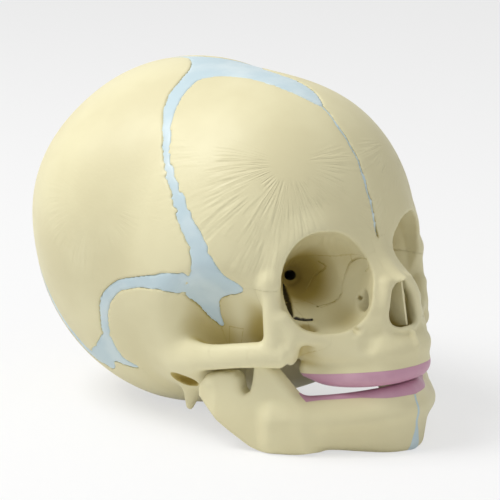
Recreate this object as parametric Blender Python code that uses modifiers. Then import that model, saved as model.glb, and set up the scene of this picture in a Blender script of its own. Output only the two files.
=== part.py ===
"""Anatomical skull of a newborn, at its real size, as an assembly of its bones.

The braincase is one smooth shell, divided along the sutures into bones, with the
soft membranes of the fontanelles and sutures as thinner sheets set a little below
them. The lower jaw turns on two steel pins that reach from the temporal bones into
its condyles. +X is the skull's left side, the face looks along -Y, and the skull
stands on its lower jaw and the underside of its occipital bone at Z = 0.
"""
import math

import bmesh
import bpy
from mathutils import Matrix, Vector

# Driving sizes, metres
HEAD_WIDTH = 0.096         # across the parietal eminences
HEAD_LENGTH = 0.120        # braincase, brow to occiput
HEAD_HEIGHT = 0.101        # standing height
BONE_WALL = 0.0026         # braincase bone
MEMBRANE_RECESS = 0.0006   # how far a membrane lies below the bone round it
MEMBRANE_INSET = 0.0004    # and how far its inner face lies above the bone's
SEAM_GAP = 0.0003          # clearance between neighbouring pieces
SUTURE_LINE = 0.0009       # width of the frontal suture
SAGITTAL_STRIP = 0.0028    # width of the membrane between the parietal bones
ORBIT_DEPTH = 0.024        # from the rim to the back of the orbit
OPTIC_CANAL = 0.0034       # bore of the canal behind the orbit
RIM_GIRTH = 0.0048         # rounded rims of the orbit and the nose
CHEEK_GIRTH = 0.0060       # bars of the cheek bone and its arch
ALVEOLAR_GIRTH = 0.0096    # tooth-bearing ridge of the upper jaw
JAW_GIRTH = 0.0074         # body of the lower jaw
GUM_GIRTH = 0.0062
RAMUS_THICKNESS = 0.0056
CONDYLE_GIRTH = 0.0050
PIN_DIAMETER = 0.0016
PIN_SEAT = 0.0065          # length of a pin on the temporal bone's side of the ramus
PIN_REACH = 0.0040         # and its length inside the condyle
SEPTUM_THICKNESS = 0.0012
PROCESS_GIRTH = 0.0042     # small process behind the ear
CLAY_GRAIN = 0.0014        # cell of the blended surface

W, L, H = HEAD_WIDTH, HEAD_LENGTH, HEAD_HEIGHT
HALF_SEAM = SEAM_GAP / 2
WELD = SEAM_GAP / 30
SLIVER = SEAM_GAP / 10      # corners closer than this become one

# Places are shares of the head's width, length and height.
JAW_AXIS_share = (0.0, -0.19, 0.178)

# Egg-shaped masses: centre, then semi-axes
CRANIUM_shares = ((0, 0.135, 0.492), (0.465, 0.436, 0.506))
FOREHEAD_shares = ((0, -0.103, 0.518), (0.448, 0.322, 0.444))
PARIETAL_shares = ((0.166, 0.189, 0.58), (0.334, 0.268, 0.318))
TEMPORAL_HOLLOW_shares = ((0.453, -0.25, 0.317), (0.172, 0.158, 0.158))
BETWEEN_ORBITS_shares = ((0, -0.333, 0.436), (0.109, 0.125, 0.198))
MAXILLA_shares = ((0.115, -0.404, 0.307), (0.13, 0.092, 0.089))
CHEEK_shares = ((0.266, -0.362, 0.312), (0.062, 0.038, 0.061))
EAR_MASS_shares = ((0.26, -0.058, 0.218), (0.099, 0.1, 0.089))
PIN_BOSS_shares = ((0.255, -0.19, 0.178), (0.047, 0.04, 0.047))
ORBIT_shares = ((0.19, -0.417, 0.475), (0.125, 0.075, 0.141))
FORAMEN_shares = ((0, 0.083, 0.05), (0.089, 0.092, 0.12))
BASE_SLAB_shares = ((0, -0.35, -0.089), (0.625, 0.417, 0.218))
FLOOR_SLAB_shares = ((0, 0.167, -0.5), (0.625, 0.8, 0.5))
EAR_RECESS_shares = ((0.352, -0.086, 0.17), (0.057, 0.034, 0.026))
PROCESS_TIP_shares = ((0.286, -0.075, 0.13), (0.297, -0.071, 0.07))
FRONT_BASE_shares = ((0, -0.6, 0.2), (0.6, 0.36, 0.35))   # solid base under the forehead
CONE_MOUTH_share = 0.96       # back of the orbit: its wide end, of the rim's half width
CONE_TIP_share = 0.8          # and its narrow end, of the optic canal
ORBIT_SQUARENESS = 0.8        # 1 is a plain ellipsoid
BASE_WALL_share = 1.6         # the bone of the base, of the braincase's wall
COARSE_GRAIN_share = 1.4      # grain of the braincase's inner face
FINE_GRAIN_share = 0.8        # and of the gums
PROCESS_POINT_share = 0.4     # narrow end of the small process, of its girth
CANAL_LEAD_share = 0.2        # how far the canal starts inside the orbit, of its length
MITRE_LIMIT = 0.4             # least cosine at a corner of an outline that grows
ORBIT_APEX_share = (0.0896, -0.229, 0.44)
OPTIC_END_share = (0.06, -0.11, 0.43)
BASE_TILT = math.radians(-21)
ORBIT_TURN = math.radians(31)
MAXILLA_TURN = math.radians(-24)
CHEEK_TURN = math.radians(-42)

# Bars: a point on the centre line, then the girth there as a share of its own girth
NOSE_ROOT_shares = ((0, -0.4, 0.574, 1.7), (0, -0.438, 0.535, 1.4), (0, -0.479, 0.498, 1.2),
                    (0, -0.504, 0.478, 1.0))
BROW_shares = ((0.297, -0.346, 0.535, 1.08), (0.26, -0.375, 0.584, 0.96), (0.188, -0.4, 0.607, 0.88),
               (0.12, -0.418, 0.584, 0.88), (0.089, -0.433, 0.535, 1.0))
NOSE_SIDE_shares = ((0.052, -0.444, 0.525, 1.0), (0.073, -0.463, 0.465, 0.96), (0.086, -0.477, 0.406, 1.0),
                    (0.099, -0.478, 0.347, 1.25))
ORBIT_FLOOR_shares = ((0.094, -0.467, 0.356, 1.0), (0.146, -0.448, 0.327, 1.0), (0.208, -0.415, 0.319, 1.0),
                      (0.271, -0.377, 0.337, 1.08), (0.302, -0.355, 0.381, 1.08))
ORBIT_SIDE_shares = ((0.312, -0.34, 0.327, 1.03), (0.319, -0.332, 0.416, 0.9), (0.317, -0.33, 0.495, 0.9),
                     (0.298, -0.34, 0.564, 0.93))
ARCH_shares = ((0.307, -0.343, 0.285, 1.2), (0.344, -0.3, 0.277, 1.0), (0.368, -0.25, 0.268, 0.93),
               (0.372, -0.2, 0.26, 0.93), (0.362, -0.142, 0.255, 1.1), (0.32, -0.083, 0.252, 1.45))
ALVEOLAR_HIGH_shares = ((0, -0.518, 0.292, 1.0), (0.062, -0.502, 0.293, 1.0), (0.12, -0.452, 0.295, 1.0),
                        (0.17, -0.402, 0.297, 0.93), (0.198, -0.35, 0.297, 0.88))
ALVEOLAR_LOW_shares = ((0, -0.522, 0.26, 0.8), (0.062, -0.503, 0.258, 0.8), (0.121, -0.453, 0.252, 0.8),
                       (0.172, -0.402, 0.246, 0.76), (0.2, -0.35, 0.242, 0.72))
UPPER_GUM_shares = ((0, -0.531, 0.238, 1.1), (0.064, -0.512, 0.236, 1.1), (0.124, -0.46, 0.23, 1.0),
                    (0.174, -0.407, 0.224, 0.87), (0.205, -0.36, 0.218, 0.74))
LOWER_GUM_shares = ((0, -0.538, 0.164, 0.97), (0.06, -0.523, 0.163, 0.97), (0.12, -0.474, 0.16, 0.9),
                    (0.18, -0.424, 0.154, 0.84), (0.222, -0.383, 0.148, 0.75))
JAW_LOW_shares = ((0, -0.508, 0.032, 0.86), (0.06, -0.495, 0.028, 0.86), (0.122, -0.458, 0.028, 0.86),
                  (0.186, -0.42, 0.028, 0.86), (0.25, -0.374, 0.028, 0.86), (0.297, -0.329, 0.028, 0.86))
JAW_MIDDLE_shares = ((0, -0.52, 0.074, 1.0), (0.057, -0.505, 0.074, 1.0), (0.12, -0.462, 0.074, 1.02),
                     (0.184, -0.421, 0.074, 1.05), (0.25, -0.374, 0.074, 1.05), (0.297, -0.329, 0.074, 0.97))
JAW_HIGH_shares = ((0, -0.538, 0.125, 1.0), (0.057, -0.524, 0.125, 1.0), (0.12, -0.477, 0.123, 1.0),
                   (0.182, -0.429, 0.12, 0.97), (0.25, -0.375, 0.116, 0.92), (0.297, -0.333, 0.112, 0.86))
CONDYLE_shares = ((0.34, -0.19, 0.178, 1.0), (0.378, -0.19, 0.18, 0.96))

# Edges of the bones, seen from the side: shares of length and height
CORONAL_REAR_shares = ((0.092, 1.02), (0.075, 0.96), (0.058, 0.911), (0.033, 0.876), (0.008, 0.842),
                       (-0.017, 0.802), (-0.05, 0.762), (-0.071, 0.728), (-0.1, 0.683), (-0.121, 0.649),
                       (-0.142, 0.609), (-0.167, 0.564))
CORONAL_FRONT_shares = ((0.042, 1.02), (0.033, 0.96), (0.025, 0.921), (0.008, 0.881), (-0.017, 0.842),
                        (-0.042, 0.802), (-0.071, 0.762), (-0.092, 0.733), (-0.117, 0.703), (-0.146, 0.668),
                        (-0.175, 0.629), (-0.2, 0.589), (-0.217, 0.554))
SPHENOID_REAR_shares = ((-0.175, 0.535), (-0.179, 0.49))
SPHENOID_LOW_shares = ((-0.175, 0.416), (-0.192, 0.396), (-0.208, 0.381), (-0.221, 0.356))
SPHENOID_FRONT_shares = ((-0.229, 0.376), (-0.233, 0.416), (-0.25, 0.446), (-0.287, 0.465), (-0.254, 0.495),
                         (-0.233, 0.52))
SQUAMOUS_UPPER_shares = ((-0.108, 0.485), (-0.042, 0.465), (0.008, 0.45), (0.058, 0.431), (0.092, 0.401),
                         (0.117, 0.361), (0.129, 0.317), (0.142, 0.257))
SQUAMOUS_LOWER_shares = ((-0.142, 0.428), (-0.1, 0.43), (-0.058, 0.429), (-0.008, 0.426), (0.025, 0.416),
                         (0.058, 0.396), (0.075, 0.376), (0.092, 0.347), (0.108, 0.307), (0.113, 0.257))
MASTOID_UPPER_shares = ((0.163, 0.233), (0.2, 0.198), (0.25, 0.168))
MASTOID_FRONT_shares = ((0.117, 0.198), (0.1, 0.173), (0.067, 0.158))
MASTOID_LOW_shares = ((0.121, 0.155), (0.154, 0.168), (0.171, 0.134), (0.204, 0.114))
LAMBDOID_FRONT_shares = ((0.2, 0.15), (0.252, 0.17), (0.308, 0.238), (0.375, 0.337), (0.442, 0.465),
                         (0.488, 0.574), (0.517, 0.644), (0.525, 0.713))
LAMBDOID_REAR_shares = ((0.533, 0.713), (0.533, 0.653), (0.508, 0.569), (0.467, 0.465), (0.4, 0.317),
                        (0.333, 0.213), (0.267, 0.134), (0.2, 0.13))
# Seen from above (width, length), from behind (width, height) and from the front (width, height)
FONTANELLE_shares = ((0.031, -0.217), (0.052, -0.158), (0.054, -0.1), (0.068, -0.042), (0.094, 0.008),
                     (0.13, 0.033), (0.167, 0.046), (0.167, 0.067), (0.115, 0.083), (0.062, 0.108),
                     (0.031, 0.142), (0.015, 0.179))
FONTANELLE_TIP_share = -0.258
REAR_FONTANELLE_shares = ((0.0, 0.851), (0.015, 0.832), (0.068, 0.723))
REAR_FONTANELLE_FOOT_share = 0.703
BROW_SEAM_shares = ((0.0, 0.564), (0.046, 0.552), (0.112, 0.508), (0.32, 0.47), (0.62, 0.47))
CHEEK_SEAM_shares = ((0.203, 0.342), (0.25, 0.243), (0.25, 0.15), (0.5, 0.15), (0.5, 0.468), (0.32, 0.468),
                     (0.203, 0.487))
NASAL_SIDE_shares = ((-0.4, 0.575), (-0.56, 0.575), (-0.56, 0.44), (-0.49, 0.453), (-0.455, 0.5),
                     (-0.4, 0.535))
RAMUS_shares = ((-0.392, 0.163), (-0.376, 0.183), (-0.352, 0.212), (-0.338, 0.238), (-0.324, 0.25),
                (-0.306, 0.242), (-0.285, 0.198), (-0.262, 0.158), (-0.238, 0.162), (-0.222, 0.195),
                (-0.19, 0.203), (-0.165, 0.19), (-0.157, 0.155), (-0.188, 0.104), (-0.233, 0.059),
                (-0.283, 0.012), (-0.321, -0.01), (-0.358, -0.01), (-0.408, 0.005))
RAMUS_PLACE_share = 0.352     # middle of the plate at the jaw's axis, of the width
RAMUS_SPLAY = 0.40            # how fast it runs in towards the chin
FRONTAL_SUTURE_shares = ((-0.6, 0.575), (-0.28, 0.575), (-0.16, 0.87), (-0.23, 1.1), (-0.6, 1.1))
SAGITTAL_shares = ((0.14, 0.7), (0.7, 0.7), (0.7, 1.1), (0.14, 1.1))
CROWN_shares = (0.7, 1.2)             # heights between which the front fontanelle lies
REAR_DEPTH_shares = (0.3, 0.7)        # lengths between which the rear one lies
BEYOND_share = 0.6                    # outside the widest place
CORONAL_INNER_share = 0.135
SIDE_INNER_share = 0.21
MASTOID_INNER_share = 0.15
FRONTAL_DEPTH_shares = (-0.8, 0.06)
FRONTAL_LIMIT_shares = ((-0.8, 0.465), (-0.8, 1.02))
ABOVE_BROW_shares = ((0.62, 1.3), (0.0, 1.3))
PARIETAL_LIMIT_shares = ((0.8, 0.8), (0.8, 1.2), (0.092, 1.2))
OCCIPITAL_LIMIT_shares = ((-0.067, -0.1), (0.8, -0.1), (0.8, 0.75))
OCCIPITAL_FRONT_shares = ((0.1, 0.25), (-0.067, 0.25))
UPPER_JAW_shares = ((-0.3, -0.1), (-0.3, 0.6), (-0.8, 0.6), (-0.8, -0.1))
GUM_SIDE_shares = (0.3, 0.03, 0.6)    # space beside a gum's joint: forwards, backwards, height
CHIN_DEPTH_share = -0.3
FRONT_LIMIT_share = -0.6
ZYGOMATIC_BACK_share = -0.3
ARCH_BOX_shares = ((-0.3, 0.14), (-0.3, 0.33), (-0.2, 0.33), (-0.2, 0.14))
ARCH_INNER_share = 0.3
ARCH_OUTER_share = 0.588
TEMPORAL_INNER_share = 0.146
TEMPORAL_FOOT_shares = ((0.05, 0.079), (0.033, -0.06), (-0.283, -0.06), (-0.233, 0.198))
ETHMOID_shares = ((-0.3, 0.62), (-0.45, 0.62), (-0.45, 0.36), (-0.3, 0.36))
ETHMOID_HALF_share = 0.13
UPPER_GUM_PLANE_shares = (-0.358, 0.214)   # a point of the sloping joint, length and height
LOWER_GUM_PLANE_shares = (-0.37, 0.138)
UPPER_GUM_SLOPE = math.radians(14)
LOWER_GUM_SLOPE = math.radians(7)
CHIN_WEDGE_shares = ((0.012, 0.2), (0.012, 0.06), (0.033, -0.02))
APERTURE_shares = ((0.0, 0.462), (0.018, 0.455), (0.036, 0.415), (0.052, 0.375), (0.042, 0.352), (0.0, 0.36))
SEPTUM_shares = ((-0.49, 0.34), (-0.49, 0.39), (-0.47, 0.475), (-0.315, 0.475), (-0.315, 0.34))
NASAL_HALF_share = 0.044
APERTURE_BACK_share = -0.3


def clear_scene():
    for thing in list(bpy.data.objects):
        bpy.data.objects.remove(thing, do_unlink=True)


def place(share):
    return Vector((share[0] * W, share[1] * L, share[2] * H))


def mesh_object(name, mesh):
    thing = bpy.data.objects.new(name, mesh)
    bpy.context.scene.collection.objects.link(thing)
    return thing


def freeze(thing, name=None):
    """The evaluated shape of an object as a plain mesh in its place."""
    graph = bpy.context.evaluated_depsgraph_get()
    mesh = bpy.data.meshes.new_from_object(thing.evaluated_get(graph))
    mesh.transform(thing.matrix_world)
    name = name or thing.name
    bpy.data.objects.remove(thing, do_unlink=True)
    return mesh_object(name, mesh)


def tidy(thing):
    """Weld the loose caps of a converted curve and turn its faces outwards."""
    work = bmesh.new()
    work.from_mesh(thing.data)
    bmesh.ops.remove_doubles(work, verts=work.verts, dist=WELD)
    bmesh.ops.recalc_face_normals(work, faces=work.faces)
    work.to_mesh(thing.data)
    work.free()
    return thing


def egg(name, shares, turn=Matrix(), grow=0.0):
    """An ellipsoid from shares of the head, made larger or smaller by a length."""
    centre, radii = shares
    mesh = bpy.data.meshes.new(name)
    work = bmesh.new()
    bmesh.ops.create_uvsphere(work, u_segments=40, v_segments=24, radius=1.0)
    size = Matrix.Diagonal((radii[0] * W + grow, radii[1] * L + grow, radii[2] * H + grow, 1))
    bmesh.ops.transform(work, matrix=Matrix.Translation(place(centre)) @ turn @ size, verts=work.verts)
    work.to_mesh(mesh)
    work.free()
    return mesh_object(name, mesh)


def block(name, shares, turn=Matrix(), lift=0.0):
    """A box from shares of the head, raised by a length."""
    centre, half = shares
    mesh = bpy.data.meshes.new(name)
    work = bmesh.new()
    bmesh.ops.create_cube(work, size=2.0)
    size = Matrix.Diagonal((half[0] * W, half[1] * L, half[2] * H, 1))
    move = Matrix.Translation(place(centre) + Vector((0, 0, lift)))
    bmesh.ops.transform(work, matrix=move @ turn @ size, verts=work.verts)
    work.to_mesh(mesh)
    work.free()
    return mesh_object(name, mesh)


def bar(name, shares, girth, both=False, sides=3):
    """A rounded bar along a smooth curve, with its own girth at each point."""
    points = [place(row) for row in shares]
    girths = [row[3] for row in shares]
    if both:
        points = [Vector((-p.x, p.y, p.z)) for p in points[:0:-1]] + points
        girths = girths[:0:-1] + girths
    line = bpy.data.curves.new(name, 'CURVE')
    line.dimensions = '3D'
    line.bevel_depth = girth / 2
    line.bevel_resolution = sides
    line.resolution_u = 5
    line.use_fill_caps = True
    spline = line.splines.new('BEZIER')
    spline.bezier_points.add(len(points) - 1)
    for knot, point, share in zip(spline.bezier_points, points, girths):
        knot.co = point
        knot.handle_left_type = knot.handle_right_type = 'AUTO'
        knot.radius = share
    thing = bpy.data.objects.new(name, line)
    bpy.context.scene.collection.objects.link(thing)
    bpy.context.view_layer.update()
    return tidy(freeze(thing))


def cone(name, start, end, radius, end_radius, segments=28):
    """A round piece between two points, with a radius at each end."""
    axis = end - start
    mesh = bpy.data.meshes.new(name)
    work = bmesh.new()
    bmesh.ops.create_cone(work, cap_ends=True, segments=segments, radius1=radius, radius2=end_radius,
                          depth=axis.length)
    turn = axis.to_track_quat('Z', 'Y').to_matrix().to_4x4()
    bmesh.ops.transform(work, matrix=Matrix.Translation((start + end) / 2) @ turn, verts=work.verts)
    work.to_mesh(mesh)
    work.free()
    return mesh_object(name, mesh)


def cylinder(name, start, end, radius, segments=20):
    return cone(name, start, end, radius, radius, segments)


def grown(outline, by):
    """The outline moved outwards by a length, with mitred corners."""
    if not by:
        return outline
    area = sum(a[0] * b[1] - b[0] * a[1] for a, b in zip(outline, outline[1:] + outline[:1]))
    side = 1 if area > 0 else -1
    moved = []
    for before, here, after in zip(outline[-1:] + outline[:-1], outline, outline[1:] + outline[:1]):
        first = (Vector(here) - Vector(before)).normalized()
        second = (Vector(after) - Vector(here)).normalized()
        normal_a, normal_b = Vector((first.y, -first.x)), Vector((second.y, -second.x))
        mitre = (normal_a + normal_b).normalized()
        reach = 1 / max(mitre.dot(normal_a), MITRE_LIMIT)
        moved.append(tuple(Vector(here) + mitre * (side * by * reach)))
    return moved


VIEW_TURNS = {
    'side': Matrix(((0, 0, 1), (1, 0, 0), (0, 1, 0))),    # outline in (Y, Z), depth along X
    'front': Matrix(((1, 0, 0), (0, 0, -1), (0, 1, 0))),  # outline in (X, Z), depth along Y
    'top': Matrix(((1, 0, 0), (0, 1, 0), (0, 0, 1))),     # outline in (X, Y), depth along Z
}


def prism(name, view, outline, low, high, by=0.0):
    """A flat outline, in metres, drawn in one view and given depth from low to high."""
    outline = grown(list(outline), by)
    low, high = low - by, high + by
    sheet = bpy.data.curves.new(name, 'CURVE')
    sheet.dimensions = '2D'
    sheet.fill_mode = 'BOTH'
    sheet.extrude = (high - low) / 2
    spline = sheet.splines.new('POLY')
    spline.points.add(len(outline) - 1)
    for knot, (u, v) in zip(spline.points, outline):
        knot.co = (u, v, 0, 1)
    spline.use_cyclic_u = True
    thing = bpy.data.objects.new(name, sheet)
    bpy.context.scene.collection.objects.link(thing)
    middle = (low + high) / 2
    shift = {'side': Vector((middle, 0, 0)), 'front': Vector((0, middle, 0)), 'top': Vector((0, 0, middle))}
    thing.matrix_world = Matrix.Translation(shift[view]) @ VIEW_TURNS[view].to_4x4()
    bpy.context.view_layer.update()
    return tidy(freeze(thing))


def side_outline(*edges):
    return [(y * L, z * H) for edge in edges for y, z in edge]


def front_outline(shares):
    return [(x * W, z * H) for x, z in shares]


def boolean(target, cutter, operation, solver='EXACT'):
    step = target.modifiers.new(operation.title(), 'BOOLEAN')
    step.operation = operation
    step.solver = solver
    step.object = cutter
    bpy.context.view_layer.update()
    result = freeze(target)
    bpy.data.objects.remove(cutter, do_unlink=True)
    return result


def shell_cut(target, cutter, operation):
    """A cut through the thin shells. So many follow one another through the same
    faces that they need the solver that keeps every result closed."""
    return boolean(target, cutter, operation, 'MANIFOLD')


def duplicate(thing, name):
    return mesh_object(name, thing.data.copy())


def mirrored(thing, name):
    mesh = thing.data.copy()
    mesh.transform(Matrix.Diagonal((-1, 1, 1, 1)))
    mesh.flip_normals()
    return mesh_object(name, mesh)


def joined(name, things):
    work = bmesh.new()
    for thing in things:
        work.from_mesh(thing.data)
    mesh = bpy.data.meshes.new(name)
    work.to_mesh(mesh)
    work.free()
    for thing in things:
        bpy.data.objects.remove(thing, do_unlink=True)
    return mesh_object(name, mesh)


def both_sides(things):
    return things + [mirrored(thing, thing.name + '_r') for thing in things]


def blended(name, things, grain, passes):
    """Overlapping masses melted into one skin."""
    thing = joined(name, things)
    remesh = thing.modifiers.new('Remesh', 'REMESH')
    remesh.mode = 'VOXEL'
    remesh.voxel_size = grain
    smooth = thing.modifiers.new('Smooth', 'SMOOTH')
    smooth.factor = 0.5
    smooth.iterations = passes
    bpy.context.view_layer.update()
    return freeze(thing)


def thinned(thing, triangles):
    """The same skin with about this many triangles."""
    fewer = thing.modifiers.new('Decimate', 'DECIMATE')
    fewer.ratio = min(triangles / (2 * len(thing.data.polygons)), 1.0)
    bpy.context.view_layer.update()
    return freeze(thing)


def turned_x(angle):
    return Matrix.Rotation(angle, 4, 'X')


def turned_z(angle):
    return Matrix.Rotation(angle, 4, 'Z')


def orbit_back():
    """Where the orbit has narrowed to the optic canal."""
    centre = place(ORBIT_shares[0])
    return centre + (place(ORBIT_APEX_share) - centre).normalized() * ORBIT_DEPTH


def orbit(name, grow):
    """The eye socket: a rounded box at the rim that narrows to the optic canal."""
    centre, half = ORBIT_shares
    mesh = bpy.data.meshes.new(name)
    work = bmesh.new()
    bmesh.ops.create_uvsphere(work, u_segments=32, v_segments=20, radius=1.0)
    for vert in work.verts:      # a sphere pressed towards a rounded box
        for axis in range(3):
            vert.co[axis] = math.copysign(abs(vert.co[axis]) ** ORBIT_SQUARENESS, vert.co[axis])
    size = Matrix.Diagonal((half[0] * W + grow, half[1] * L + grow, half[2] * H + grow, 1))
    move = Matrix.Translation(place(centre)) @ turned_z(ORBIT_TURN)
    bmesh.ops.transform(work, matrix=move @ size, verts=work.verts)
    work.to_mesh(mesh)
    work.free()
    mouth = mesh_object(name, mesh)
    back = cone(name + '_back', place(centre), orbit_back(), half[0] * W * CONE_MOUTH_share + grow,
                OPTIC_CANAL * CONE_TIP_share + grow)
    return blended(name, [mouth, back], CLAY_GRAIN, 4)


def outer_skin():
    masses = [egg('cranium', CRANIUM_shares), egg('forehead', FOREHEAD_shares)]
    masses += both_sides([egg('parietal', PARIETAL_shares)])
    skin = blended('vault', masses, CLAY_GRAIN, 10)
    skin = shell_cut(skin, block('base', BASE_SLAB_shares, turned_x(BASE_TILT)), 'DIFFERENCE')
    for hollow in both_sides([egg('hollow', TEMPORAL_HOLLOW_shares)]):
        skin = shell_cut(skin, hollow, 'DIFFERENCE')
    face = [egg('between', BETWEEN_ORBITS_shares), bar('nose_root', NOSE_ROOT_shares, RIM_GIRTH),
            bar('ridge_high', ALVEOLAR_HIGH_shares, ALVEOLAR_GIRTH, both=True),
            bar('ridge_low', ALVEOLAR_LOW_shares, ALVEOLAR_GIRTH, both=True)]
    face += both_sides([
        bar('brow', BROW_shares, RIM_GIRTH), bar('nose_side', NOSE_SIDE_shares, RIM_GIRTH),
        bar('floor', ORBIT_FLOOR_shares, RIM_GIRTH), bar('side', ORBIT_SIDE_shares, CHEEK_GIRTH),
        bar('arch', ARCH_shares, CHEEK_GIRTH), egg('maxilla', MAXILLA_shares, turned_z(MAXILLA_TURN)),
        egg('cheek', CHEEK_shares, turned_z(CHEEK_TURN)), egg('ear', EAR_MASS_shares),
        egg('boss', PIN_BOSS_shares)])
    skin = blended('skin', [skin] + face, CLAY_GRAIN, 5)
    for socket in both_sides([orbit('orbit', 0.0)]):
        skin = shell_cut(skin, socket, 'DIFFERENCE')
    half = front_outline(APERTURE_shares)
    whole = half + [(-x, z) for x, z in half[-2:0:-1]]
    nose = prism('nose', 'front', whole, -L, APERTURE_BACK_share * L)
    skin = shell_cut(skin, nose, 'DIFFERENCE')
    tip = [place(share) for share in PROCESS_TIP_shares]
    spikes = both_sides([cone('tip', tip[0], tip[1], PROCESS_GIRTH / 2,
                              PROCESS_GIRTH / 2 * PROCESS_POINT_share)])
    skin = blended('skin', [skin] + spikes, CLAY_GRAIN, 3)
    for recess in both_sides([egg('recess', EAR_RECESS_shares)]):
        skin = shell_cut(skin, recess, 'DIFFERENCE')
    skin = thinned(skin, 3450)
    skin = shell_cut(skin, block('floor', FLOOR_SLAB_shares), 'DIFFERENCE')
    under = joint_side(UPPER_GUM_PLANE_shares, UPPER_GUM_SLOPE, False, HALF_SEAM)
    return shell_cut(skin, prism('under', 'side', under, -W, W), 'DIFFERENCE')


def membrane_skin():
    """The braincase alone, a little below the bone's surface."""
    down = -MEMBRANE_RECESS
    masses = [egg('cranium', CRANIUM_shares, grow=down), egg('forehead', FOREHEAD_shares, grow=down)]
    masses += both_sides([egg('parietal', PARIETAL_shares, grow=down)])
    skin = blended('low', masses, CLAY_GRAIN, 10)
    for hollow in both_sides([egg('hollow', TEMPORAL_HOLLOW_shares, grow=-down)]):
        skin = shell_cut(skin, hollow, 'DIFFERENCE')
    return thinned(blended('low', [skin], CLAY_GRAIN, 3), 2600)


def brain_space(name, inset=0.0):
    wall = inset - BONE_WALL
    masses = [egg('inner_cranium', CRANIUM_shares, grow=wall),
              egg('inner_forehead', FOREHEAD_shares, grow=wall)]
    masses += both_sides([egg('inner_parietal', PARIETAL_shares, grow=wall)])
    space = blended('space', masses, CLAY_GRAIN, 10)
    space = shell_cut(space, block('inner_base', BASE_SLAB_shares, turned_x(BASE_TILT),
                                    BONE_WALL * BASE_WALL_share), 'DIFFERENCE')
    space = shell_cut(space, block('inner_floor', FLOOR_SLAB_shares, lift=BONE_WALL), 'DIFFERENCE')
    for hollow in both_sides([egg('hollow', TEMPORAL_HOLLOW_shares, grow=BONE_WALL),
                              orbit('orbit', BONE_WALL)]):
        space = shell_cut(space, hollow, 'DIFFERENCE')
    space = shell_cut(space, block('front_base', FRONT_BASE_shares), 'DIFFERENCE')
    space = shell_cut(space, egg('inner_face', BETWEEN_ORBITS_shares, grow=BONE_WALL), 'DIFFERENCE')
    space = blended('space', [space], CLAY_GRAIN * COARSE_GRAIN_share, 3)
    space.name = name
    return thinned(space, 1220)


def skull_shells():
    """The bone shell, and a thinner sheet for the membranes, both in one piece."""
    skin = outer_skin()
    space = brain_space('space')
    low_skin = membrane_skin()
    wide_space = brain_space('wide_space', -MEMBRANE_INSET)
    bone = shell_cut(skin, space, 'DIFFERENCE')
    bone = shell_cut(bone, egg('foramen', FORAMEN_shares), 'DIFFERENCE')
    back, end = orbit_back(), place(OPTIC_END_share)
    lead = (end - back) * CANAL_LEAD_share
    for canal in both_sides([cylinder('canal', back - lead, end, OPTIC_CANAL / 2, 12)]):
        bone = shell_cut(bone, canal, 'DIFFERENCE')
    sheet = shell_cut(low_skin, wide_space, 'DIFFERENCE')
    return bone, sheet


def region(view, outline, low, high):
    return lambda by: prism('region', view, outline, low, high, by)


def overlap(*regions):
    def build(by):
        body = regions[0](by)
        for other in regions[1:]:
            body = boolean(body, other(by), 'INTERSECT')
        return body
    return build


def together(*regions):
    def build(by):
        body = regions[0](by)
        for other in regions[1:]:
            body = boolean(body, other(by), 'UNION')
        return body
    return build


def main_body(thing):
    """The largest of an object's bodies, without slivers cut loose or left hanging by an edge."""
    work = bmesh.new()
    work.from_mesh(thing.data)
    left = set(work.faces)
    bodies = []
    while left:
        queue = [left.pop()]
        body = set(queue)
        while queue:
            for edge in queue.pop().edges:
                if len(edge.link_faces) != 2:
                    continue
                for face in edge.link_faces:
                    if face in left:
                        left.discard(face)
                        body.add(face)
                        queue.append(face)
        bodies.append(body)
    bodies.sort(key=len)
    loose = [face for body in bodies[:-1] for face in body]
    bmesh.ops.delete(work, geom=loose, context='FACES')
    bmesh.ops.remove_doubles(work, verts=work.verts, dist=SLIVER)
    bmesh.ops.triangulate(work, faces=work.faces)
    work.to_mesh(thing.data)
    work.free()
    return thing


class Division:
    """Takes pieces out of the shells one after another, leaving a seam round each."""

    def __init__(self, bone, sheet):
        self.bone = bone
        self.sheet = sheet
        self.pieces = {}

    def _cut(self, name, build, membrane):
        source = self.sheet if membrane else self.bone
        piece = shell_cut(duplicate(source, name), build(0.0), 'INTERSECT')
        self.pieces[name] = main_body(piece)
        return self.pieces[name]

    def _remove(self, cutter, membrane):
        if membrane:
            self.sheet = shell_cut(self.sheet, duplicate(cutter, 'copy'), 'DIFFERENCE')
        self.bone = shell_cut(self.bone, cutter, 'DIFFERENCE')

    def middle(self, name, build, membrane=False):
        self._cut(name, build, membrane)
        self._remove(build(SEAM_GAP), membrane)

    def pair(self, name, build, membrane=False):
        left = self._cut(name + '_L', build, membrane)
        self.pieces[name + '_R'] = mirrored(left, name + '_R')
        cutter = build(SEAM_GAP)
        other = mirrored(cutter, 'other')
        self._remove(other, membrane)
        self._remove(cutter, membrane)


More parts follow.
